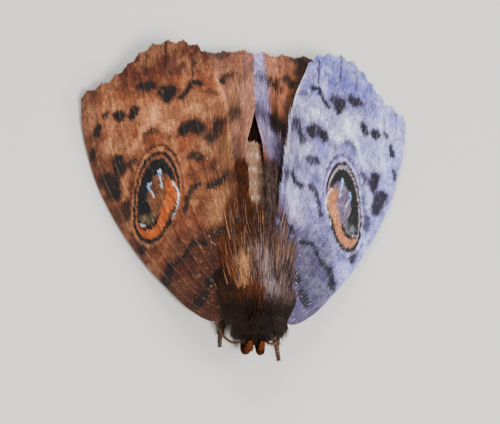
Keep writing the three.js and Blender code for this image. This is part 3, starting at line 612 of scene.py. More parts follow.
def forewing_colour(x, y, s, t, side):
    """Ground, zones, marks, veins and eyespot of a forewing."""
    x, y = mark_places(x, y, side)
    wx, wy = warped(x, x, y, 1.1, 0.5), warped(y, x + 19, y + 7, 1.1, 0.5)
    paint = Paint(WING_TINTS[side] | SPOT_TINTS, "disc", x)
    inward = ramp(wx, *INNER_ZONE_X) * ramp(wy, *INNER_ZONE_Y)
    rooted = ramp(wx, *BASE_ZONE_X) * ramp(wy, *BASE_ZONE_Y)
    band = ramp(wy, *BAND_START) * ramp(wy, *BAND_END) * ramp(wx, *BAND_INNER)
    # Large soft pale and dark patches: partly the scales' own mottling, partly painted light and painted
    # shade of the wing's surface
    pale_mottle_and_light = ramp(cloud(x * 1.3, y * 0.9, 2.3), 0.46, 0.66)
    dark_mottle_and_shade = ramp(cloud(x * 1.1 + 50, y + 30, 1.9), 0.5, 0.66)
    paint.over("outer", ramp(wy + TIP_SLOPE * (x - TIP_MIDDLE), *TIP_ZONE))
    paint.over("inner", inward)
    # Towards the costa: on the left wing painted light that brightens the half by the costa, on the right a
    # narrow darker strip along it
    paint.over("costa", 0.85 * ramp(s, *COSTA_ZONE[side]))
    paint.over("base", 0.94 * rooted)
    paint.over("pale", 0.3 * band)
    paint.over("pale", 0.24 * pale_mottle_and_light * (1 - 0.5 * inward) * (1 - 0.75 * rooted))
    paint.over("soft", 0.27 * dark_mottle_and_shade)
    for points, width, strength in PALE_MARKS:
        paint.over("pale", strength * stroke(wx, wy, points, width * 1.15, 0.85))
    dusted = wx + 0.3 * (noise(x, y, 0.22) - 0.5)
    for points, width, strength in DARK_MARKS:
        paint.over("soft", 0.5 * strength * stroke(wx, wy, points, width * MARK_HALO, 0.9))
        core = stroke(dusted, wy, points, width * MARK_CORE, 0.4)
        paint.over("mark", min(1, MARK_STRENGTH * strength) * core)
    from_vein = np.abs(((s * forewing.veins) % 1.0) - 0.5)
    paint.over("pale", 0.1 * ramp(from_vein, 0.06, 0) * ramp(t, 0, 0.2))
    paint.over("pale", 0.5 * ramp(s, *SEAM_ACROSS) * ramp(t, *SEAM_ALONG))
    streaks = ramp(from_vein, *MARGIN_STREAKS) * ramp(t, *STREAK_ALONG) * noise(x * 1.5, y * 0.3, 1.0)
    paint.over("soft", 0.8 * streaks)
    eyespot(paint, x, y, side)
    grain = noise(x, y, 0.19) + noise(x + 9, y + 4, 0.42) - 1
    lines = noise(s * 110, t * 16, 1.0) - 0.5
    paint.shade(1 + 0.1 * lines + 0.72 * grain + 0.5 * (cloud(x, y, 1.8) - 0.5))
    paint.over("fleck", ramp(noise(x + 5, y, 0.16), 0.86, 0.96) * (0.3 * inward + 0.1))
    return paint.done()


HINDWING_DARK = {
    "right": [
        ([(3.8, 31.8), (5.2, 31.4)], 1.7, 0.95), ([(5.0, 36.6), (6.4, 36.4)], 1.5, 0.7),
        ([(2.0, 30.4), (2.8, 29.8)], 1.0, 0.5), ([(3.6, 24.2), (5.0, 23.0)], 2.0, 0.8),
        ([(6.8, 29.5), (7.6, 25.0)], 1.2, 0.7),
    ],
    "left": [
        ([(0.6, 32.0), (1.4, 31.5)], 1.0, 0.8), ([(0.7, 25.2), (1.7, 24.0)], 1.3, 0.75),
        ([(2.8, 30.8), (4.2, 30.2)], 1.6, 0.95), ([(5.8, 32.4), (6.6, 31.2)], 1.2, 0.9),
        ([(3.7, 24.0), (4.6, 21.6)], 1.8, 0.95), ([(7.0, 36.2), (8.2, 35.6)], 1.1, 0.7),
    ],
}
HINDWING_FOLD = {
    "right": [(2.2, 30.0), (2.8, 25.0), (3.4, 20.5)],
    "left": [(3.8, 37.5), (3.9, 32.0), (4.0, 28.0)],
}
# The lilac band along the hindwing's inner panel is a painted sheen of the cool light, strong on the left
# hindwing and faint on the right
HINDWING_LILAC_SHEEN = [(0.2, 37.5), (0.9, 30.0), (1.8, 24.5), (3.8, 17.0)]
LILAC_SHEEN_STRENGTH = {"right": 0.12, "left": 0.95}
# The dark valley tint is painted shade for where the hindwing lies under the forewing
HINDWING_TINTS = {
    "right": {
        "ground": deep(192, 134, 106), "fold": deep(206, 150, 116), "valley": deep(40, 26, 20),
        "mark": deep(20, 12, 10), "lilac_sheen": deep(140, 126, 150), "end": deep(132, 82, 60),
    },
    "left": {
        "ground": deep(188, 122, 80), "fold": deep(200, 142, 116), "valley": deep(42, 28, 26),
        "mark": deep(20, 12, 12), "lilac_sheen": deep(178, 166, 206), "end": deep(136, 88, 68),
    },
}
END_ZONE, ROOT_SHADE_ZONE, EDGE_SHADE = (31.0, 34.0), (21.0, 13.0), 1.9


def hindwing_colour(x, y, s, t, side):
    """A hindwing: painted shade where it dips under the forewing and beside the forewing's edge, banded in
    folds towards the midline.
    """
    wx, wy = warped(x, x, y, 1.2, 0.5), warped(y, x + 9, y, 1.2, 0.7)
    paint = Paint(HINDWING_TINTS[side], "ground", x)
    paint.over("end", 0.7 * ramp(y, *END_ZONE))
    # Painted shade towards the root, where the hindwing dips under the forewing
    paint.over("valley", 0.8 * ramp(y, *ROOT_SHADE_ZONE))
    paint.over("fold", 0.5 * stroke(wx, wy, HINDWING_FOLD[side], 3.0, 0.6))
    # Painted lilac sheen where the panel faces the cool light
    paint.over("lilac_sheen", LILAC_SHEEN_STRENGTH[side] * stroke(wx, wy, HINDWING_LILAC_SHEEN, 2.9, 0.3))
    paint.over("mark", 0.3 * ramp(cloud(x * 1.5, y, 1.7), 0.52, 0.66))
    # Painted shade beside the forewing's inner edge
    paint.over("valley", 0.75 * ramp(wx - inner_margin(y), -EDGE_SHADE, 0))
    for points, width, strength in HINDWING_DARK[side]:
        paint.over("mark", strength * stroke(wx, wy, points, 1.3 * width, 0.5))
    grain = noise(x, y, 0.2) + noise(x + 9, y + 4, 0.45) - 1
    paint.shade(1 + 0.25 * (noise(s * 110, t * 14, 1.0) - 0.5) + 0.7 * grain)
    return paint.done()


UNDER_TINTS = {"ground": deep(132, 100, 76), "band": deep(196, 162, 132), "line": deep(66, 44, 32)}
UNDER_BANDS = [(0.6, 0.05, "band"), (0.68, 0.035, "line"), (0.82, 0.06, "band"), (0.9, 0.04, "line")]


def underside_colour(x, y, t):
    """The wings' plainer underside: dusty brown with wavy bands beside the outer margin."""
    wavy = warped(t, x, y, 2.6, 0.05)
    paint = Paint(UNDER_TINTS, "ground", x)
    for middle, width, kind in UNDER_BANDS:
        paint.over(kind, 0.6 * ring(wavy, middle, width, 0.9))
    paint.shade(0.65 + 0.7 * cloud(x + 5, y, 0.9))
    return paint.done()


# Materials: kind of texture, its scale, and the bump's strength and distance in metres
FINE_BUMP = ("ShaderNodeTexNoise", 9000.0, 0.3, 0.00005)
WING_BUMP = ("ShaderNodeTexNoise", 7000.0, 0.5, 0.00006)
FACET_BUMP = ("ShaderNodeTexVoronoi", 12000.0, 0.25, 0.00001)
GRAIN_SCALE, GRAIN_DETAIL, GRAIN_RANGE = 5200.0, 3.0, (0.3, 0.7)
SHEEN_ROUGHNESS = 0.45


def set_inputs(node, values):
    for name, value in values.items():
        node.inputs[name].default_value = value


def new_material(name, roughness, specular=0.35, sheen=0.0):
    material = bpy.data.materials.new(name)
    material.use_nodes = True
    shader = material.node_tree.nodes["Principled BSDF"]
    set_inputs(shader, {"Roughness": roughness, "Specular IOR Level": specular})
    set_inputs(shader, {"Sheen Weight": sheen, "Sheen Roughness": SHEEN_ROUGHNESS})
    return material, material.node_tree, shader


def add_bump(tree, shader, place, kind, scale, strength, distance):
    texture = tree.nodes.new(kind)
    bump = tree.nodes.new("ShaderNodeBump")
    set_inputs(texture, {"Scale": scale})
    set_inputs(bump, {"Strength": strength, "Distance": distance})
    output = texture.outputs["Distance"] if kind == "ShaderNodeTexVoronoi" else texture.outputs[0]
    tree.links.new(place.outputs["Object"], texture.inputs["Vector"])
    tree.links.new(output, bump.inputs["Height"])
    tree.links.new(bump.outputs["Normal"], shader.inputs["Normal"])


def painted(name, roughness, specular=0.35, sheen=0.0, bump=FINE_BUMP, vary=0.25):
    """A material that shows the painted tint, broken by fine grain, with a fine bump."""
    material, tree, shader = new_material(name, roughness, specular, sheen)
    tint = tree.nodes.new("ShaderNodeVertexColor")
    tint.layer_name = "Tint"
    place = tree.nodes.new("ShaderNodeTexCoord")
    grain = tree.nodes.new("ShaderNodeTexNoise")
    set_inputs(grain, {"Scale": GRAIN_SCALE, "Detail": GRAIN_DETAIL})
    level = tree.nodes.new("ShaderNodeMapRange")
    set_inputs(level, {"From Min": GRAIN_RANGE[0], "From Max": GRAIN_RANGE[1]})
    set_inputs(level, {"To Min": 1 - vary, "To Max": 1 + vary})
    mix = tree.nodes.new("ShaderNodeVectorMath")
    mix.operation = "SCALE"
    tree.links.new(place.outputs["Object"], grain.inputs["Vector"])
    tree.links.new(grain.outputs["Fac"], level.inputs["Value"])
    tree.links.new(tint.outputs["Color"], mix.inputs[0])
    tree.links.new(level.outputs["Result"], mix.inputs["Scale"])
    tree.links.new(mix.outputs["Vector"], shader.inputs["Base Color"])
    add_bump(tree, shader, place, *bump)
    return material


WING_MATERIAL = painted("wing_scales", 0.6, specular=0.3, sheen=0.12, bump=WING_BUMP)
HAIR_MATERIAL = painted("hair_scales", 0.6, specular=0.2)
SKIN_MATERIAL = painted("body_skin", 0.75, specular=0.25, sheen=0.1)
LIMB_MATERIAL = painted("limb_skin", 0.42, specular=0.45)
EYE_MATERIAL = painted("eye_facets", 0.36, specular=0.18, bump=FACET_BUMP, vary=0.12)


# Wing pieces
OneWing = namedtuple("OneWing", "shape paint side slot")
SKIN_THICK, SKIN_COARSE, RIM_SLIM = 0.42, 6, 0.75
SCALE_FLAT, SCALE_SINK, SEEN_PAST_EDGE = 0.15, 0.02, 0.8


def grid_faces(grid):
    """Two triangles for each cell of a grid of point numbers."""
    a, b, c, d = grid[:-1, :-1], grid[:-1, 1:], grid[1:, 1:], grid[1:, :-1]
    return np.stack([np.stack([a, b, c], -1), np.stack([a, c, d], -1)], axis=2).reshape(-1, 3)


def rim_faces(dense, coarse):
    """Triangles that stitch a dense edge to a coarse one."""
    half, faces = SKIN_COARSE // 2, []
    for k in range(len(coarse) - 1):
        first = k * SKIN_COARSE
        for j in range(SKIN_COARSE):
            foot = coarse[k] if j < half else coarse[k + 1]
            faces.append((dense[first + j], foot, dense[first + j + 1]))
        faces.append((dense[first + half], coarse[k], coarse[k + 1]))
    return np.array(faces)


def wing_skin(wing, cells):
    """A closed wing: a dense upper face, a coarse lower face and a stitched rim, with their shares."""
    s, t = np.meshgrid(*(np.linspace(0, 1, n * SKIN_COARSE + 1) for n in cells), indexing="ij")
    top = wing.shape.top(s, t, MARGIN_INSET)
    top[..., 2] -= SKIN_BELOW
    low = top.copy()
    low[..., 2] -= SKIN_THICK * (1 - RIM_SLIM * np.maximum(ramp(t, 0.75, 1), ramp(s, 0.9, 1)))
    every = (slice(None, None, SKIN_COARSE),) * 2
    low = low[every]
    dense = np.arange(s.size).reshape(s.shape)
    coarse = s.size + np.arange(low[..., 0].size).reshape(low.shape[:2])
    edges = [np.s_[0, :], np.s_[:, -1], np.s_[-1, ::-1], np.s_[::-1, 0]]
    rims = [rim_faces(dense[edge], coarse[edge]) for edge in edges]
    triangles = np.concatenate([grid_faces(dense), grid_faces(coarse)[:, ::-1], *rims])
    points = np.concatenate([top.reshape(-1, 3), low.reshape(-1, 3)])
    shares = [np.concatenate([share.ravel(), share[every].ravel()]) for share in (s, t)]
    if wing.side == "right":
        points[:, 0] *= -1
        triangles = triangles[:, ::-1]
    return points, triangles, shares, s.size


def make_wing(wing, cells):
    """A wing's skin, painted above and plain below."""
    points, triangles, (s, t), upper = wing_skin(wing, cells)
    x, y = np.abs(points[:, 0]), points[:, 1]
    colours = wing.paint(x, y, s, t, wing.side)
    colours[upper:] = underside_colour(x[upper:], y[upper:], t[upper:])
    above = bake_places(s[:upper], t[:upper], UPPER_BAND)
    below = bake_places(s[upper:], t[upper:], LOWER_BAND)
    bake = np.concatenate([above, below])
    piece = make_piece(f"{wing.slot}_skin", points, triangles, colours, bake, WING_MATERIAL)
    settle(piece, wing.slot, wing.slot)


# Coat: many small closed tapered tufts in one mesh
TUFT_WIDTH = (0.7, 0.9, -1.45)
ROOT_SHADE, SHADE_RISE, TIP_SHADE = 0.6, 2.4, 1.12
TUFT_BAKE, TUFT_BAKE_TALL, BAKE_EDGE = 0.0015, 0.7, 0.002


def tuft_faces(body):
    """Triangles of one tuft: a closed root, the walls between its rings and a pointed tip."""
    tip, last = 3 * body, 3 * (body - 1)
    faces = [(0, 2, 1)]
    for i in range(body - 1):
        for k in range(3):
            here, after = 3 * i + k, 3 * i + (k + 1) % 3
            faces += [(here, after, after + 3), (here, after + 3, here + 3)]
    return np.array(faces + [(last, last + 1, tip), (last + 1, last + 2, tip), (last + 2, last, tip)])


def tuft_mesh(paths, normals, widths, colours, roots_uv, flat):
    """Three-sided tufts along their paths, which end in a point; paths has (tuft, station, place)."""
    count, stations = paths.shape[:2]
    body = stations - 1
    each = 3 * body + 1
    along = unit(np.gradient(paths, axis=1))
    normals = np.broadcast_to(normals[:, None, :], paths.shape)
    normals = unit(normals - along * np.sum(normals * along, axis=-1, keepdims=True))[:, :body]
    sides = np.cross(along[:, :body], normals)
    share = np.linspace(0, 1, stations)[:body]
    start, rise, fall = TUFT_WIDTH
    half = (widths[:, None] * 0.5 * (start + rise * share + fall * share**2))[..., None]
    middle = paths[:, :body]
    crest = normals * half * flat * 2
    rings = np.stack([middle - sides * half, middle + sides * half, middle + crest], axis=2)
    points = np.concatenate([rings.reshape(count, 3 * body, 3), paths[:, -1:]], axis=1)
    root_shade = ROOT_SHADE + (1 - ROOT_SHADE) * np.minimum(1, SHADE_RISE * share)
    shade = np.concatenate([np.repeat(root_shade, 3), [TIP_SHADE]])
    tints = np.clip(colours[:, None, :] * shade[None, :, None], 0, 1)
    triangles = tuft_faces(body)[None] + (np.arange(count) * each)[:, None, None]
    spread = np.linspace(-TUFT_BAKE, TUFT_BAKE, each)
    patch = np.stack([spread, spread[::-1] * TUFT_BAKE_TALL], axis=1)
    uv = np.clip(roots_uv, BAKE_EDGE, 1 - BAKE_EDGE)[:, None, :] + patch[None]
    return points.reshape(-1, 3), triangles.reshape(-1, 3), tints.reshape(-1, 3), uv.reshape(-1, 2)


def make_coat(name, slot, paths, normals, widths, colours, roots_uv, flat=0.45, material=HAIR_MATERIAL):
    points, triangles, tints, uv = tuft_mesh(paths, normals, widths, colours, roots_uv, flat)
    points[:, 2] = np.maximum(points[:, 2], FLOOR_CLEARANCE)
    settle(make_piece(name, points, triangles, tints, uv, material, smooth=False), slot)


def wing_frame(shape, s, t):
    """Place, direction along the veins and upward normal of the wing's upper face."""
    root = shape.top(s, t, MARGIN_INSET)
    direction = unit(root - shape.top(s, t - 0.01, MARGIN_INSET))
    beside = shape.top(np.where(s > 0.5, s - 0.01, s + 0.01), t, MARGIN_INSET)
    normal = np.cross(beside - root, direction)
    normal[normal[:, 2] < 0] *= -1
    return root, direction, unit(normal)


def lay_scales(layer, wing, s, t, size, draw, turn=0.0, lift=0.0):
    """Flat scales rooted at the given shares of a wing: size is length and width, turn bends them aside."""
    count = len(s)
    root, direction, normal = wing_frame(wing.shape, s, t)
    bend = turn + between(draw, -0.175, 0.175, count)
    direction = unit(direction + np.cross(normal, direction) * bend[:, None])
    colours = varied(draw, wing.paint(root[:, 0], root[:, 1], s, t, wing.side), 0.72, 1.34)
    root[:, 2] -= SKIN_BELOW + SCALE_SINK
    length = size[0] * between(draw, 0.72, 1.28, count)[:, None]
    rise = lift * between(draw, 0.6, 1.4, count)[:, None]
    middle = root + (0.55 * direction + 0.7 * rise * normal) * length
    paths = np.stack([root, middle, root + (direction + rise * normal) * length], axis=1)
    paths[..., 0] *= SIDES[wing.side]
    normal[:, 0] *= SIDES[wing.side]
    widths = size[1] * between(draw, 0.75, 1.25, count)
    bake = bake_places(s, t, UPPER_BAND)
    name = f"{wing.slot}_{layer}"
    make_coat(name, wing.slot, paths, normal, widths, colours, bake, SCALE_FLAT, WING_MATERIAL)


def wing_scales(wing, count, open_only=False):
    """Scales over the wing's upper face, or only over what the wing above leaves open."""
    draw = draws_for(wing.slot)
    s = between(draw, 0.005, 0.995, count)
    t = np.sqrt(between(draw, 0.02, 0.99, count))
    if open_only:
        place = wing.shape.plan(s, t)
        seen = place[:, 0] < inner_margin(place[:, 1]) + SEEN_PAST_EDGE
        s, t = s[seen], t[seen]
    lay_scales("scales", wing, s, t, (0.55, 0.18), draw, lift=0.145)


def margin_fringe(wing, count):
    """Long scales that stand out of the outer margin, in the wing's own plane."""
    draw = draws_for(wing.slot, 1)
    s = between(draw, 0.01, 0.99, count)
    t = between(draw, 0.965, 0.998, count)
    lay_scales("fringe", wing, s, t, (0.4, 0.1), draw)


def inner_hairs(wing, count, s_span, t_span, size, turn, lift):
    """Fine hairs along the inner part of a wing, over the given spans of s and t."""
    draw = draws_for(wing.slot, 2)
    s = between(draw, *s_span, count)
    t = between(draw, *t_span, count)
    lay_scales("hairs", wing, s, t, size, draw, turn * between(draw, 0.4, 1.3, count), lift)


def fold_hairs(wing, count):
    """Dark hairs that hang from a hindwing's inner edge beside the abdomen."""
    draw = draws_of_side(wing.side, 500)
    s = between(draw, 0.955, 0.995, count)
    t = between(draw, 0.3, 0.85, count)
    root, direction, _ = wing_frame(wing.shape, s, t)
    root[:, 2] -= SKIN_BELOW + 0.1
    length = between(draw, 1.6, 2.6, count)[:, None]
    inward, back = between(draw, 0, -0.25, count), between(draw, 0.35, 0.65, count)
    fall = np.stack([inward, back, np.full(count, -0.8)], axis=1)
    paths = np.stack([root, root + (0.35 * direction + 0.25 * fall) * length, root + fall * length], axis=1)
    paths[..., 0] *= SIDES[wing.side]
    colours = varied(draw, np.tile(BODY_TINTS["dusk"], (count, 1)), 0.5, 1.3)
    normals = np.tile([1.0, 0.0, 0.2], (count, 1))
    widths, bake = between(draw, 0.1, 0.16, count), bake_places(s, t, LOWER_BAND)
    make_coat(f"{wing.slot}_fold_hairs", wing.slot, paths, normals, widths, colours, bake)


# Body: one skin over head, thorax and abdomen
END_CAP, RING_DEPTH, BODY_SINK = 0.2, 0.055, 0.12
ABDOMEN_SINK, BODY_SIDES, BODY_VOXEL = 0.1, 64, 0.18
NECK = ((0, -12.2, 5.6), (2.4, 1.6, 2.0))
WAIST = ((0, 4.1, 5.6), (2.2, 1.4, 1.9))


def loft_mesh(stations, steps, sink, swell=np.ones_like):
    """A closed loft through all the body stations, sunk below their surface."""
    ys = np.linspace(stations[0][0], stations[-1][0], steps)
    half, top, under = (table_at(stations, k, ys) for k in (1, 2, 3))
    turn = 2 * np.pi * np.arange(BODY_SIDES) / BODY_SIDES
    wide = np.maximum(half * swell(ys) - sink, 0.05)[:, None]
    tall = np.maximum((top - under) / 2 * swell(ys) - sink, 0.05)[:, None]
    middle = ((top + under) / 2)[:, None]
    x, z = wide * np.cos(turn), middle + tall * np.sin(turn)
    points = np.stack([x, np.broadcast_to(ys[:, None], x.shape), z], axis=-1).reshape(-1, 3)
    reach = END_CAP - sink / 2
    ends = [(0, ys[0] - reach, middle[0, 0]), (0, ys[-1] + reach, middle[-1, 0])]
    return np.concatenate([points, ends]), tube_faces(steps, BODY_SIDES)


def ball_mesh(centre, radii, across=40, down=28):
    turn = 2 * np.pi * np.arange(across) / across
    tilt = (np.pi * np.arange(1, down) / down)[:, None]
    x, y = np.sin(tilt) * np.cos(turn), np.sin(tilt) * np.sin(turn)
    points = np.stack([x, y, np.broadcast_to(np.cos(tilt), x.shape)], axis=-1).reshape(-1, 3)
    points = np.concatenate([points, [(0, 0, 1), (0, 0, -1)]])
    return points * np.array(radii) + np.array(centre), tube_faces(down - 1, across)


def joined(*meshes):
    points, faces, start = [], [], 0
    for more_points, more_faces in meshes:
        points.append(more_points)
        faces.append(more_faces + start)
        start += len(more_points)
    return np.concatenate(points), np.concatenate(faces)


def ring_swell(y):
    """How the abdomen's girth draws in between its rings."""
    pitch = (ABDOMEN[-1][0] - ABDOMEN[0][0]) / ABDOMEN_RINGS
    place = ((y - ABDOMEN[0][0]) / pitch) % 1
    return 1 - RING_DEPTH * (1 - np.sin(np.pi * place)) ** 2


def ring_grooves(y):
    """1 in the groove between two of the abdomen's rings, 0 on their crests."""
    return (1 - ring_swell(y)) / RING_DEPTH


def remeshed(name, points, faces, voxel):
    """One welded surface over overlapping closed forms, as numpy points and triangles in millimetres."""
    mesh = bpy.data.meshes.new(name)
    mesh.from_pydata([tuple(p) for p in points], [], [tuple(f) for f in faces])
    rough = bpy.data.objects.new(name, mesh)
    bpy.context.scene.collection.objects.link(rough)
    weld = rough.modifiers.new("weld", "REMESH")
    weld.mode = "VOXEL"
    weld.voxel_size = voxel
    smooth = rough.modifiers.new("smooth", "SMOOTH")
    smooth.iterations = 4
    split = rough.modifiers.new("split", "TRIANGULATE")
    split.quad_method = "BEAUTY"
    made = rough.evaluated_get(bpy.context.evaluated_depsgraph_get()).to_mesh()
    places = np.zeros(len(made.vertices) * 3)
    made.vertices.foreach_get("co", places)
    corners = np.zeros(len(made.polygons) * 3, np.int32)
    made.polygons.foreach_get("vertices", corners)
    bpy.data.objects.remove(rough)
    bpy.data.meshes.remove(mesh)
    return places.reshape(-1, 3), corners.reshape(-1, 3)


def coat_height(x, y):
    """Height of the coat's outer surface over the back and the wing bases."""
    crown, half = table_at(COAT_SURFACE, 1, y), table_at(COAT_SURFACE, 2, y)
    share = np.minimum(1, np.abs(x) / half)
    over_wing = tent_height(np.abs(x), y) + COAT_OVER_WING
    return over_wing + (crown - tent_height(0, y) - COAT_OVER_WING) * (1 - share**2) ** 0.7


# The left tint and the lilac tint are a painted sheen of the cool light falling on the moth's left; the right
# tint is the coat's brown ground
BODY_TINTS = {
    "dome": deep(40, 23, 15), "crest": deep(226, 172, 126), "right": deep(112, 66, 36),
    "left": deep(118, 96, 92), "lilac_sheen": deep(160, 142, 142), "band": deep(14, 9, 8),
    "rear": deep(70, 42, 26), "under": deep(150, 112, 78), "abdomen": deep(188, 150, 126),
    "cream": deep(236, 210, 190), "tuft": deep(176, 98, 46), "dusk": deep(48, 32, 26),
    "face": deep(52, 28, 18),
}
# Tints of the single long hairs; the left and lilac tints among them are painted sheen
LONG_HAIR_KINDS = ("crest", "lilac_sheen", "right", "dusk", "left", "rear")

# Strokes of the back in plan places: tint, points, width, softness, strength
BACK_STROKES = [
    # A lilac patch of painted sheen beside the midline
    ("lilac_sheen", [(1.9, -7.4), (0.4, -4.0), (-0.8, -1.4)], 2.9, 0.8, 0.75),
    ("crest", [(-2.5, -6.6), (-2.3, -2.8)], 1.9, 0.8, 0.85),
    ("dusk", [(-1.0, -7.4), (-1.3, -4.6), (-2.0, -1.6)], 0.8, 0.8, 0.75),
    ("dusk", [(3.6, -7.4), (2.4, -4.2), (1.2, -1.0)], 0.8, 0.8, 0.75),
    ("band", [(-7.4, -3.6), (-5.0, -6.8)], 2.0, 0.7, 0.85),
    ("band", [(4.6, -3.8), (7.2, -6.8)], 2.0, 0.7, 0.85),
    ("band", [(-4.6, -7.6), (-2.6, -7.9)], 1.2, 0.7, 0.85),
]


def body_paint(x, y):
    """Paint of the coat on the back, by plan place, x negative on the moth's right."""
    wx, wy = warped(x, x + 40, y + 40, 1.6, 0.8), warped(y, x + 60, y + 20, 1.6, 0.8)
    paint = Paint(BODY_TINTS, "right", x)
    # The left half turns grey: a painted sheen of the cool light on that side
    paint.over("left", ramp(wx, -0.6, 1.0))
    paint.over("rear", 0.85 * ramp(wy, -1.5, 1.5) * ramp(np.abs(wx), 4.0, 1.5))
    for kind, points, width, soft, strength in BACK_STROKES:
        paint.over(kind, strength * stroke(wx, wy, points, width, soft))
    paint.over("dome", 0.96 * ramp(wy - 0.2 * np.abs(wx), -8.2, -10.8))
    return paint


def path_over_back(x0, y0, heading, length, shares, depth, lift, ahead=1):
    """Places along tufts that rise out of the thorax and lie along the coat's surface."""
    angle = heading[:, None] * (1 - 0.3 * shares)[None]
    reach = length[:, None] * shares
    x = x0[:, None] + reach * np.sin(angle)
    y = y0[:, None] + np.reshape(ahead, (-1, 1)) * reach * np.cos(angle)
    sunk, raised = depth[:, None] * (1 - ramp(shares, 0, 0.45)), lift[:, None] * ease(shares)
    return np.stack([x, y, coat_height(x, y) - sunk + raised], axis=-1)


BAKE_START, BAKE_LENGTH, GIRTH_CENTRE = -16, 44, 6.0


def body_uv(points):
    """A bake map round the body: its length across, its girth up."""
    x, y, z = points.T
    turn = np.arctan2(z - GIRTH_CENTRE, x) / (2 * np.pi) + 0.5
    return np.stack([np.clip((y - BAKE_START) / BAKE_LENGTH, 0.003, 0.997), 0.01 + 0.98 * turn], axis=1)


# y from, y to, half of the width, length, splay in degrees, ahead or not, share of the clumps
BACK_ZONES = [
    (-12.6, -10.6, 3.8, 2.4, 50, -1, 0.12),
    (-12.0, -8.0, 4.7, 4.0, 38, 1, 0.28),
    (-8.0, -3.5, 5.0, 5.4, 24, 1, 0.32),
    (-3.5, 0.5, 3.8, 6.4, 13, 1, 0.2),
    (0.5, 2.6, 2.0, 6.0, 12, 1, 0.08),
]
CLUMP_REACH, CLUMP_SPLAY, CLUMP_LEAN = 0.95, 9, 8
LONG_HAIR_REACH = 4.4


def clump_rows(draw, clumps):
    """Place, splay, length and direction of each clump of the back, x from the midline outwards."""
    rows = []
    for low, high, reach, length, splay, ahead, part in BACK_ZONES:
        n = int(clumps * part)
        share = draw.rand(n)
        y = between(draw, low, high, n) + 0.8 * share**2
        zone = np.array([length, ahead])
        rows.append(np.column_stack([share * reach, y, splay * share, np.tile(zone, (n, 1))]))
    return np.concatenate(rows)


def back_coat(side, clumps, strands):
    """The thorax's long hair scales on one side, in clumps whose tips draw together."""
    sign, draw = SIDES[side], draws_of_side(side, 100)
    rows = clump_rows(draw, clumps)
    total, count = len(rows), len(rows) * strands
    x, y, splay, length, ahead = np.repeat(rows, strands, axis=0).T
    turn, far = 2 * np.pi * draw.rand(count), np.sqrt(draw.rand(count)) * CLUMP_REACH
    lean = np.repeat(between(draw, -CLUMP_LEAN, CLUMP_LEAN, total), strands)
    long = np.repeat(between(draw, 0.85, 1.15, total), strands)
    x, y = np.abs(x + far * np.cos(turn)), y + far * np.sin(turn)
    stray = between(draw, -CLUMP_SPLAY / 2, CLUMP_SPLAY / 2, count)
    heading = np.radians(splay + lean - CLUMP_SPLAY * far * np.cos(turn) + stray)
    length = length * long * between(draw, 0.7, 1.1, count)
    depth, lift = between(draw, 0.9, 1.4, count), between(draw, 0.1, -0.65, count)
    paths = path_over_back(x, y, heading, length, np.array([0.0, 0.22, 0.5, 0.78, 1.0]), depth, lift, ahead)
    middle = paths[:, 2]
    stray_x, stray_y = 0.9 * (draw.rand(2, count) - 0.5)
    colours = body_paint(sign * middle[:, 0] + stray_x, middle[:, 1] + stray_y).done()
    of_clump = np.repeat(between(draw, 0.72, 1.28, total), strands)
    colours = np.clip(colours * (of_clump * (0.45 + 1.1 * draw.rand(count) ** 1.3))[:, None], 0, 1)
    paths[..., 0] *= sign
    normals = unit(np.stack([paths[:, 2, 0] * 0.12, np.zeros(count), np.ones(count)], axis=1))
    widths = between(draw, 0.1, 0.19, count)
    make_coat(f"thorax_coat_{side}", "thorax_coat", paths, normals, widths, colours, body_uv(paths[:, 0]))


def long_hairs(side, count):
    """Single long hairs of mixed tints that stream back from the crown over the coat."""
    draw = draws_of_side(side, 200)
    x, y = between(draw, 0, LONG_HAIR_REACH, count), between(draw, -9.0, 2.0, count)
    splay = 4 + 22 * draw.rand(count) * x / LONG_HAIR_REACH
    heading = np.radians(splay + between(draw, -11, 11, count))
    length, lift = between(draw, 4.5, 9.0, count), between(draw, 0.05, 0.35, count)
    shares = np.array([0.0, 0.2, 0.45, 0.7, 1.0])
    paths = path_over_back(x, y, heading, length, shares, np.full(count, 0.8), lift)
    paths[..., 0] *= SIDES[side]
    kinds = np.array([BODY_TINTS[kind] for kind in LONG_HAIR_KINDS])
    colours = varied(draw, kinds[draw.randint(0, len(kinds), count)], 0.4, 1.0)
    normals = np.tile([0.0, 0.0, 1.0], (count, 1))
    widths = between(draw, 0.045, 0.08, count)
    make_coat(f"long_hairs_{side}", "thorax_coat", paths, normals, widths, colours, body_uv(paths[:, 0]))


def waist_hairs(side, count):
    """Long soft hairs from the rear of the thorax along the abdomen's side, over the hindwing's root."""
    draw = draws_of_side(side, 400)
    x = between(draw, 1.6, 3.5, count)[:, None]
    y = (1.5 + 11.0 * draw.rand(count) ** 1.4)[:, None]
    length = between(draw, 2.4, 5.0, count)
    heading = np.radians(20 * (draw.rand(count) - 0.6))
    shares = np.array([0.0, 0.3, 0.65, 1.0])
    x = x + (length * np.sin(heading))[:, None] * shares
    y = y + (length * np.cos(heading))[:, None] * shares
    arch = between(draw, 0.25, 0.95, count)[:, None] * np.sin(np.pi * (0.15 + 0.8 * shares))
    z = np.where(y < 4.0, 9.2, 8.3) - 0.9 * (1 - ramp(shares, 0, 0.4)) + arch
    paths = np.stack([SIDES[side] * x, y, z], axis=-1)
    dusky = (draw.rand(count) < 0.4)[:, None]
    # On the left the hairs take the grey tint that is a painted sheen of the cool light
    colours = varied(draw, np.where(dusky, BODY_TINTS["dusk"], BODY_TINTS[side]), 0.5, 1.4)
    normals = np.tile([0.0, 0.0, 1.0], (count, 1))
    widths = between(draw, 0.05, 0.1, count)
    make_coat(f"waist_hairs_{side}", "abdomen_coat", paths, normals, widths, colours, body_uv(paths[:, 0]))


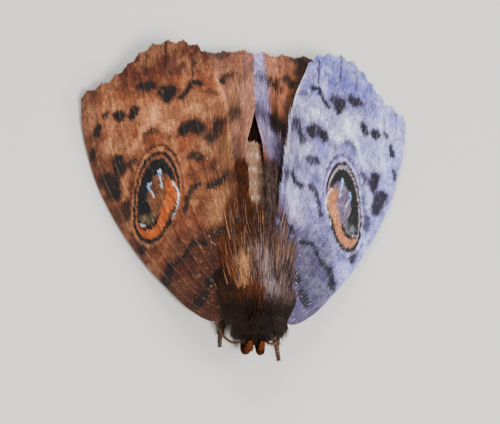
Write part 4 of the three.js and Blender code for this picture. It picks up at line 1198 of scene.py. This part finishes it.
def make_body():
    """The body's skin: painted darker as shade under the coat, paler below, and ringed behind the waist."""
    thorax = loft_mesh(THORAX, 60, BODY_SINK)
    abdomen = loft_mesh(ABDOMEN, 110, ABDOMEN_SINK, ring_swell)
    head = ball_mesh(HEAD_CENTRE, np.array(HEAD_RADII) - BODY_SINK)
    forms = joined(thorax, abdomen, ball_mesh(*NECK), ball_mesh(*WAIST), head)
    points, faces = remeshed("body_form", *forms, BODY_VOXEL)
    x, y, z = points.T
    paint = body_paint(x, y)
    # The coat's paint, darkened on the skin as painted shade under the coat
    paint.shade(0.55)
    paint.over(BODY_TINTS["under"] * 0.6, 0.8 * ramp(z, 6.0, 3.5) * ramp(y, 4.0, 2.5))
    rear = Paint(BODY_TINTS, "abdomen", x)
    rear.over("cream", 0.8 * ramp(ring_grooves(y), 0.35, 0.75))
    rear.shade(0.75 + 0.5 * cloud(x, y, 0.8))
    paint.over(rear.colour, ramp(y, 3.6, 4.4))
    piece = make_piece("body_skin", points, faces, paint.done(), body_uv(points), SKIN_MATERIAL)
    settle(piece, "thorax_coat", "thorax", "abdomen", "head")


def surface_coat(slot, name, stations, ys, angles, size, rise, tint, count):
    """Short tufts that lie back along a loft, within spans of y and of angle from level."""
    draw = draws_for(name)
    y = between(draw, *ys, count)
    angle = np.radians(between(draw, *angles, count))
    mirrored = np.where(draw.rand(count) < 0.5, -1, 1)
    reach = size[0] * between(draw, 0.7, 1.3, count)
    drift = between(draw, -0.125, 0.125, count)
    places = []
    for share in (0.0, 0.45, 1.0):
        at = y + reach * share
        half, top, under = (table_at(stations, k, at) for k in (1, 2, 3))
        out = -0.25 + (rise + 0.25) * share**0.7
        turn = angle + drift * share
        z = (top + under) / 2 + ((top - under) / 2 + out) * np.sin(turn)
        places.append(np.stack([mirrored * (half + out) * np.cos(turn), at, z], axis=1))
    paths = np.stack(places, axis=1)
    normals = unit(np.stack([mirrored * np.cos(angle), np.zeros(count), np.sin(angle)], axis=1))
    colours = varied(draw, tint(paths[:, 1]), 0.65, 1.35)
    widths = size[1] * between(draw, 0.7, 1.3, count)
    make_coat(name, slot, paths, normals, widths, colours, body_uv(paths[:, 0]), 0.4)


def abdomen_tint(points):
    x, y, z = points.T
    paint = Paint(BODY_TINTS, "abdomen", x)
    paint.over("cream", 0.85 * ramp(ring_grooves(y), 0.4, 0.8))
    # Darker towards the underside: painted shade
    paint.over("under", 0.7 * ramp(z, 5.0, 3.4))
    paint.over("tuft", 0.5 * ramp(y, 9.0, 5.0))
    return paint.done()


def tuft_tint(points):
    return np.tile(BODY_TINTS["dusk"], (len(points), 1))


def flank_tint(points):
    x, y, z = points.T
    paint = body_paint(x, y)
    paint.over("under", 0.45 + 0.3 * ramp(z, 5.0, 3.0))
    paint.over("dome", 0.6 * ramp(y, -10.5, -12.0))
    return paint.done()


# Head and limbs
LIMB_STEP, SCALE_ROOT = 0.01, 0.86
LYING_CLEARANCE = FLOOR_CLEARANCE + 0.02


class Limb:
    """A tapered tube along a smooth route of x, y, z and radius, with a shape that swells or thins it."""

    def __init__(self, route, side="left", reference=(0, 0, 1), shape=np.ones_like):
        table = np.array(route, float) * (SIDES[side], 1, 1, 1)
        self.curve = Spline(table[:, :3])
        self.radii = [(i / (len(table) - 1), row[3]) for i, row in enumerate(table)]
        self.reference, self.shape = np.array(reference, float), shape

    def frame(self, t):
        along = unit(self.curve.raw(t + LIMB_STEP) - self.curve.raw(t - LIMB_STEP))
        across = unit(np.cross(along, self.reference))
        return self.curve.raw(t), along, across, np.cross(across, along)

    def radius(self, t):
        return table_at(self.radii, 1, t) * self.shape(t)

    def mesh(self, sides, steps):
        t = np.linspace(0, 1, steps + 1)
        centre, _, across, third = self.frame(t)
        turn = np.arange(sides) / sides
        cosine, sine = (wave(2 * np.pi * turn)[None, :, None] for wave in (np.cos, np.sin))
        out = across[:, None] * cosine + third[:, None] * sine
        rings = centre[:, None] + out * self.radius(t)[:, None, None]
        points = np.concatenate([rings.reshape(-1, 3), centre[[0, -1]]])
        points[:, 2] = np.maximum(points[:, 2], FLOOR_CLEARANCE)
        shares = np.concatenate([np.repeat(t, sides), [0, 1]])
        girth = np.concatenate([np.tile(turn, steps + 1), [0.5, 0.5]])
        return points, tube_faces(steps + 1, sides), shares, bake_places(shares, girth)


def make_limb(name, slot, node, limb, sizes, tint):
    points, faces, shares, bake = limb.mesh(*sizes)
    settle(make_piece(name, points, faces, tint(shares, points), bake, LIMB_MATERIAL), slot, node)


def limb_coat(name, slot, limb, count, size, tint, span, rise):
    """Scales that lie along a limb, towards its tip."""
    draw = draws_for(name)
    t, turn = between(draw, *span, count), draw.rand(count)
    centre, along, across, third = limb.frame(t)
    out = across * np.cos(2 * np.pi * turn)[:, None] + third * np.sin(2 * np.pi * turn)[:, None]
    root = centre + out * (limb.radius(t) * SCALE_ROOT)[:, None]
    reach = size[0] * between(draw, 0.7, 1.3, count)[:, None]
    lean = rise * between(draw, 0.5, 1.5, count)[:, None]
    middle = root + unit(along + out * lean * 1.3) * reach * 0.5
    paths = np.stack([root, middle, root + unit(along + out * lean) * reach], axis=1)
    paths[..., 2] = np.maximum(paths[..., 2], LYING_CLEARANCE)
    colours = varied(draw, tint(t, root), 0.7, 1.3)
    widths = size[1] * between(draw, 0.7, 1.3, count)
    make_coat(name, slot, paths, out, widths, colours, bake_places(t, turn))


def nearest(t, places):
    """How far each share is from the nearest of the places."""
    return np.abs(np.asarray(t)[..., None] - np.array(places)).min(-1)


def notches(places, depth, width):
    """A shape for a limb that draws its girth in at each joint."""
    return lambda t: 1 - depth * np.exp(-((nearest(t, places) / width) ** 2))


def ripples(rings, depth):
    """A shape for a limb of many short rings."""
    return lambda t: 1 - depth + depth * np.sin(2 * np.pi * rings * np.asarray(t))


def mottled(paint, across, along, size):
    """A limb's paint broken by small noise."""
    paint.shade(0.75 + 0.5 * noise(across, along, size))
    return paint.done()


LIMB_TINTS = {
    "leg": deep(84, 56, 38), "leg_ring": deep(206, 168, 122), "claw": deep(30, 18, 12),
    "antenna": deep(74, 46, 30), "palp": deep(132, 80, 44), "palp_tip": deep(158, 92, 44),
    "tongue": deep(86, 44, 20), "eye": deep(24, 14, 10), "eye_band": deep(78, 48, 30),
}
LEG_KNEE, LEG_ANKLE, TOE_RINGS = 2 / 6, 4 / 6, 5
TOE_JOINTS = [LEG_ANKLE + (1 - LEG_ANKLE) * k / TOE_RINGS for k in range(1, TOE_RINGS)]
LEG_JOINTS = [LEG_KNEE, LEG_ANKLE] + TOE_JOINTS
LEG_RING_HALF = 0.016
SPUR_PLACES, HIND_SPUR_PLACES, CLAW_PLACES = [0.62, 0.62], [0.63, 0.63, 0.5, 0.5], [0.97, 0.97]
SPIKE_SHARES, SPIKE_CURVE, SPIKE_FLAT = np.array([0.0, 0.35, 0.7, 1.0]), 0.35, 0.9
ANTENNA_RINGS, ANTENNA_SLIM = 70, 0.62
PALP_JOINTS, PALP_SLIM = [0.2, 0.62], 0.82
TONGUE_RINGS = 60


def leg_tint(t, points):
    paint = Paint(LIMB_TINTS, "leg", t)
    paint.over("leg_ring", 0.5 * ramp(nearest(t, LEG_JOINTS), LEG_RING_HALF, 0))
    return mottled(paint, points[:, 0] + points[:, 2], points[:, 1], 0.3)


def spikes(name, limb, places, start, lean, length, width):
    """Stiff curved spurs or claws, by turns on the two sides of a limb."""
    t, count = np.array(places), len(places)
    centre, along, across, _ = limb.frame(t)
    outs = across * np.resize([1, -1], count)[:, None]
    roots = centre + outs * (limb.radius(t) * start)[:, None]
    ways = unit(along + outs * lean)
    shares = SPIKE_SHARES[None, :, None]
    bend = outs[:, None] * length * SPIKE_CURVE * np.sin(np.pi * shares)
    paths = roots[:, None] + ways[:, None] * length * shares + bend
    paths[..., 2] = np.maximum(paths[..., 2], LYING_CLEARANCE)
    colours = np.tile(LIMB_TINTS["claw"], (count, 1))
    bake = np.stack([np.linspace(0.1, 0.9, count), np.full(count, 0.5)], axis=1)
    make_coat(name, "leg", paths, outs, np.full(count, width), colours, bake, SPIKE_FLAT)


def make_leg(name, route, side="left"):
    """A leg with thigh, shin, five toe joints, spurs, two claws and its scales."""
    leg = f"leg_{name}"
    limb = Limb(route, side, shape=notches(LEG_JOINTS, depth=0.24, width=0.012))
    make_limb(f"{leg}_skin", "leg", leg, limb, (14, 120), leg_tint)
    limb_coat(f"{leg}_scales", "leg", limb, 900, (0.42, 0.13), leg_tint, (0.0, LEG_ANKLE), 0.35)
    limb_coat(f"{leg}_toes", "leg", limb, 360, (0.24, 0.08), leg_tint, (LEG_ANKLE, 0.985), 0.25)
    spur_places = HIND_SPUR_PLACES if "hind" in name else SPUR_PLACES
    spikes(f"{leg}_spurs", limb, spur_places, start=0.5, lean=0.5, length=1.0, width=0.13)
    spikes(f"{leg}_claws", limb, CLAW_PLACES, start=0, lean=0.7, length=0.42, width=0.1)


def antenna_tint(t, points):
    paint = Paint(LIMB_TINTS, "antenna", t)
    paint.over("leg_ring", 0.3 * (0.5 + 0.5 * np.sin(2 * np.pi * ANTENNA_RINGS * t)))
    return paint.done()


def make_antenna(side):
    """A thread-like antenna of many short rings, clad in fine bristles."""
    ringed = ripples(ANTENNA_RINGS, 0.08)
    limb = Limb(ANTENNA, side, shape=lambda t: ANTENNA_SLIM * ringed(t))
    antenna = f"antenna_{side}"
    make_limb(f"{antenna}_skin", "antenna", antenna, limb, (8, ANTENNA_RINGS * 4), antenna_tint)
    limb_coat(f"{antenna}_bristles", "antenna", limb, 1500, (0.26, 0.045), antenna_tint, (0.01, 0.99), 0.7)


def palp_tint(t, points):
    paint = Paint(LIMB_TINTS, "palp", t)
    paint.over("palp_tip", 0.8 * ramp(t, 0.6, 0.75))
    return mottled(paint, points[:, 0] * 2, points[:, 2], 0.3)


def make_palp(side):
    """A three-jointed palp that curves up before the face, thick with scales."""
    jointed = notches(PALP_JOINTS, depth=0.2, width=0.02)
    limb = Limb(PALP, side, (1, 0, 0), lambda t: PALP_SLIM * jointed(t))
    make_limb(f"palp_{side}_skin", "palp", f"palp_{side}", limb, (18, 60), palp_tint)
    limb_coat(f"palp_{side}_scales", "palp", limb, 3000, (0.42, 0.1), palp_tint, (0.03, 0.99), 0.5)


def tongue_tint(t, points):
    paint = Paint(LIMB_TINTS, "tongue", t)
    paint.shade(0.7 + 0.5 * noise(points[:, 1], points[:, 2], 0.1))
    return paint.done()


def make_tongue():
    """The tongue, rolled up like a watch spring and ringed along its length."""
    x, y, z = TONGUE_CENTRE
    route = []
    for i in range(TONGUE["places"] + 1):
        t = i / TONGUE["places"]
        angle = TONGUE_START + 2 * math.pi * TONGUE["turns"] * t
        r = TONGUE["radius"] * (1 - TONGUE["inward"] * t)
        thick = TONGUE["thickness"] * (1 - TONGUE["thinned"] * t)
        route.append((x, y - r * math.cos(angle), z + r * math.sin(angle), thick))
    limb = Limb(route, reference=(1, 0, 0), shape=ripples(TONGUE_RINGS, 0.07))
    make_limb("tongue_coil", "tongue", "proboscis", limb, (12, 300), tongue_tint)


def make_eye(side):
    """A compound eye: a dark glossy ball with faint bands and a close net of facets."""
    centre = np.array(EYE_CENTRE) * (SIDES[side], 1, 1)
    points, faces = ball_mesh(centre, (EYE_RADIUS,) * 3, 72, 48)
    x, y, z = (points - centre).T
    paint = Paint(LIMB_TINTS, "eye", x)
    paint.over("eye_band", 0.55 * (0.5 + 0.5 * np.sin(3.2 * (points[:, 2] + 0.4 * points[:, 1]))))
    bake = bake_places(np.arctan2(y, x) / (2 * np.pi) + 0.5, z / (2 * EYE_RADIUS) + 0.5)
    eye = make_piece(f"eye_{side}_ball", points, faces, paint.done(), bake, EYE_MATERIAL)
    settle(eye, "eye", f"eye_{side}")


def face_tint(points):
    z = points[:, 2]
    paint = Paint(BODY_TINTS, "face", z)
    paint.over("tuft", 0.6 * ramp(z, 5.2, 3.2))
    paint.over("dome", 0.8 * ramp(z, 6.2, 7.2))
    return paint.done()


HEAD_DRAWS, FACE_BACK, EYE_RIM = 3, -12.0, 0.05


def head_coat(count):
    """Scales of the face and crown: up over the brow, down the cheeks, and a rim round each eye."""
    draw = np.random.RandomState(SEED + 300)
    way = unit(draw.normal(size=(count * HEAD_DRAWS, 3)))
    root = np.array(HEAD_CENTRE) + way * (np.array(HEAD_RADII) - 0.2)
    on_left = np.stack([np.abs(root[:, 0]), root[:, 1], root[:, 2]], axis=1)
    eye_far = np.linalg.norm(on_left - np.array(EYE_CENTRE), axis=1)
    keep = (root[:, 1] < FACE_BACK) & (eye_far > EYE_RADIUS + EYE_RIM)
    root, way, eye_far = root[keep][:count], way[keep][:count], eye_far[keep][:count]
    count = len(root)
    normal = unit(way / np.array(HEAD_RADII))
    aim = np.stack([0.25 * way[:, 0], np.full(count, -0.45), 0.2 + 0.9 * way[:, 2]], axis=1)
    aim = aim + 0.35 * draw.normal(size=(count, 3))
    aim = unit(aim - normal * np.sum(aim * normal, axis=1, keepdims=True))
    length = between(draw, 0.5, 1.0, count) * (0.75 + 0.6 * ramp(way[:, 2], 0.1, 0.6))
    length = (length * (0.55 + 0.45 * ramp(eye_far, EYE_RADIUS, EYE_RADIUS + 0.5)))[:, None]
    middle = root + unit(aim + normal * 0.75) * length * 0.5
    paths = np.stack([root, middle, root + unit(aim + normal * 0.5) * length], axis=1)
    colours = varied(draw, face_tint(root), 0.65, 1.35)
    widths = between(draw, 0.09, 0.15, count)
    make_coat("head_scales", "head_coat", paths, normal, widths, colours, body_uv(root))


# Stage, lights and camera, in metres
FLOOR_HALF, FLOOR_BELOW = 1.2, 0.00002
WORLD_COLOUR, WORLD_STRENGTH = (0.9, 0.94, 1.0, 1), 0.48
LAMP_DISTANCE = 0.5

# name, azimuth, elevation, size, power, colour
LAMPS = [
    ("key", 20.0, 58.0, 0.14, 3.0, (1.0, 0.97, 0.93)),
    ("side", 95.0, 38.0, 0.2, 1.2, (0.86, 0.92, 1.0)),
    ("back", 190.0, 40.0, 0.2, 1.2, (1.0, 0.98, 0.95)),
]
CLIP_NEAR, CLIP_FAR = 0.005, 20


def way_of(azimuth, elevation):
    """Unit vector from the moth towards a lamp or the camera."""
    az, el = math.radians(azimuth), math.radians(elevation)
    return Vector((math.sin(az) * math.cos(el), -math.cos(az) * math.cos(el), math.sin(el)))


def make_stage():
    corners = [(x * FLOOR_HALF, y * FLOOR_HALF, 0) for x, y in ((-1, -1), (1, -1), (1, 1), (-1, 1))]
    mesh = bpy.data.meshes.new("floor")
    mesh.from_pydata(corners, [], [(0, 1, 2, 3)])
    floor = bpy.data.objects.new("floor", mesh)
    bpy.context.scene.collection.objects.link(floor)
    floor.location.z = -FLOOR_BELOW
    material, _, shader = new_material("pale_floor", 0.85)
    set_inputs(shader, {"Base Color": (*linear(226, 223, 218), 1)})
    mesh.materials.append(material)


def make_lights():
    world = bpy.data.worlds.new("studio")
    world.use_nodes = True
    set_inputs(world.node_tree.nodes["Background"], {"Color": WORLD_COLOUR, "Strength": WORLD_STRENGTH})
    bpy.context.scene.world = world
    for name, azimuth, elevation, size, power, colour in LAMPS:
        data = bpy.data.lights.new(name, "AREA")
        data.shape = "DISK"
        data.size = size
        data.energy = power
        data.color = colour
        lamp = bpy.data.objects.new(name, data)
        way = way_of(azimuth, elevation)
        lamp.location = way * LAMP_DISTANCE
        lamp.rotation_euler = (-way).to_track_quat("-Z", "Y").to_euler()
        bpy.context.scene.collection.objects.link(lamp)


def make_camera():
    back = way_of(CAMERA_AZIMUTH, CAMERA_ELEVATION)
    target = Vector(CAMERA_TARGET) - Vector((0, ORIGIN_Y, 0))
    place = (target + back * CAMERA_DISTANCE) * MM
    right = (-back).cross(Vector((0, 0, 1))).normalized()
    up = right.cross(-back)
    roll = math.radians(CAMERA_ROLL)
    rolled_right = math.cos(roll) * right + math.sin(roll) * up
    rolled_up = -math.sin(roll) * right + math.cos(roll) * up
    data = bpy.data.cameras.new("camera")
    data.lens = CAMERA_LENS
    data.sensor_width = SENSOR_WIDTH
    data.clip_start = CLIP_NEAR
    data.clip_end = CLIP_FAR
    camera = bpy.data.objects.new("camera", data)
    turned = Matrix((rolled_right, rolled_up, back)).transposed()
    camera.matrix_world = Matrix.Translation(place) @ turned.to_4x4()
    bpy.context.scene.collection.objects.link(camera)
    bpy.context.scene.camera = camera


# Tufts over the body: name, stations, span of y, span of angle, length and width, rise, tint, count
ABDOMEN_LAYERS = [
    ("abdomen_scales", ABDOMEN, (4.6, 23.5), (-90, 90), (1.5, 0.16), 0.22, abdomen_tint, 7000),
    ("abdomen_tuft", ABDOMEN, (20.5, 25.2), (5, 90), (2.6, 0.16), 1.9, tuft_tint, 1800),
]
FLANK_LAYER = ("flank_hairs", THORAX, (-12.6, 1.0), (-88, 0), (2.6, 0.2), 0.5, flank_tint, 5600)

make_camera()
make_lights()
make_stage()
for side in SIDES:
    fore = OneWing(forewing, forewing_colour, side, f"forewing_{side}")
    hind = OneWing(Wing(HINDWING, hindwing_height(side)), hindwing_colour, side, f"hindwing_{side}")
    make_wing(fore, cells=(34, 50))
    make_wing(hind, cells=(24, 36))
    wing_scales(fore, count=19000)
    wing_scales(hind, count=14000, open_only=True)
    margin_fringe(fore, count=2600)
    margin_fringe(hind, count=1600)
    inner_hairs(fore, 1500, s_span=(0.86, 0.995), t_span=(0.05, 0.72), size=(1.9, 0.09), turn=0.35, lift=0.16)
    inner_hairs(hind, 1500, s_span=(0.8, 0.98), t_span=(0.25, 0.85), size=(2.2, 0.09), turn=0.1, lift=0.2)
    fold_hairs(hind, count=1100)
    back_coat(side, clumps=130, strands=60)
    long_hairs(side, count=260)
    waist_hairs(side, count=3200)
    make_eye(side)
    make_palp(side)
    make_antenna(side)
for name, route in LEGS.items():
    make_leg(name, route)
    if name in ("middle_left", "hind_left"):
        make_leg(name.replace("left", "right"), route, "right")
make_tongue()
make_body()
head_coat(count=3200)
for layer in ABDOMEN_LAYERS:
    surface_coat("abdomen_coat", *layer)
surface_coat("thorax_coat", *FLANK_LAYER)
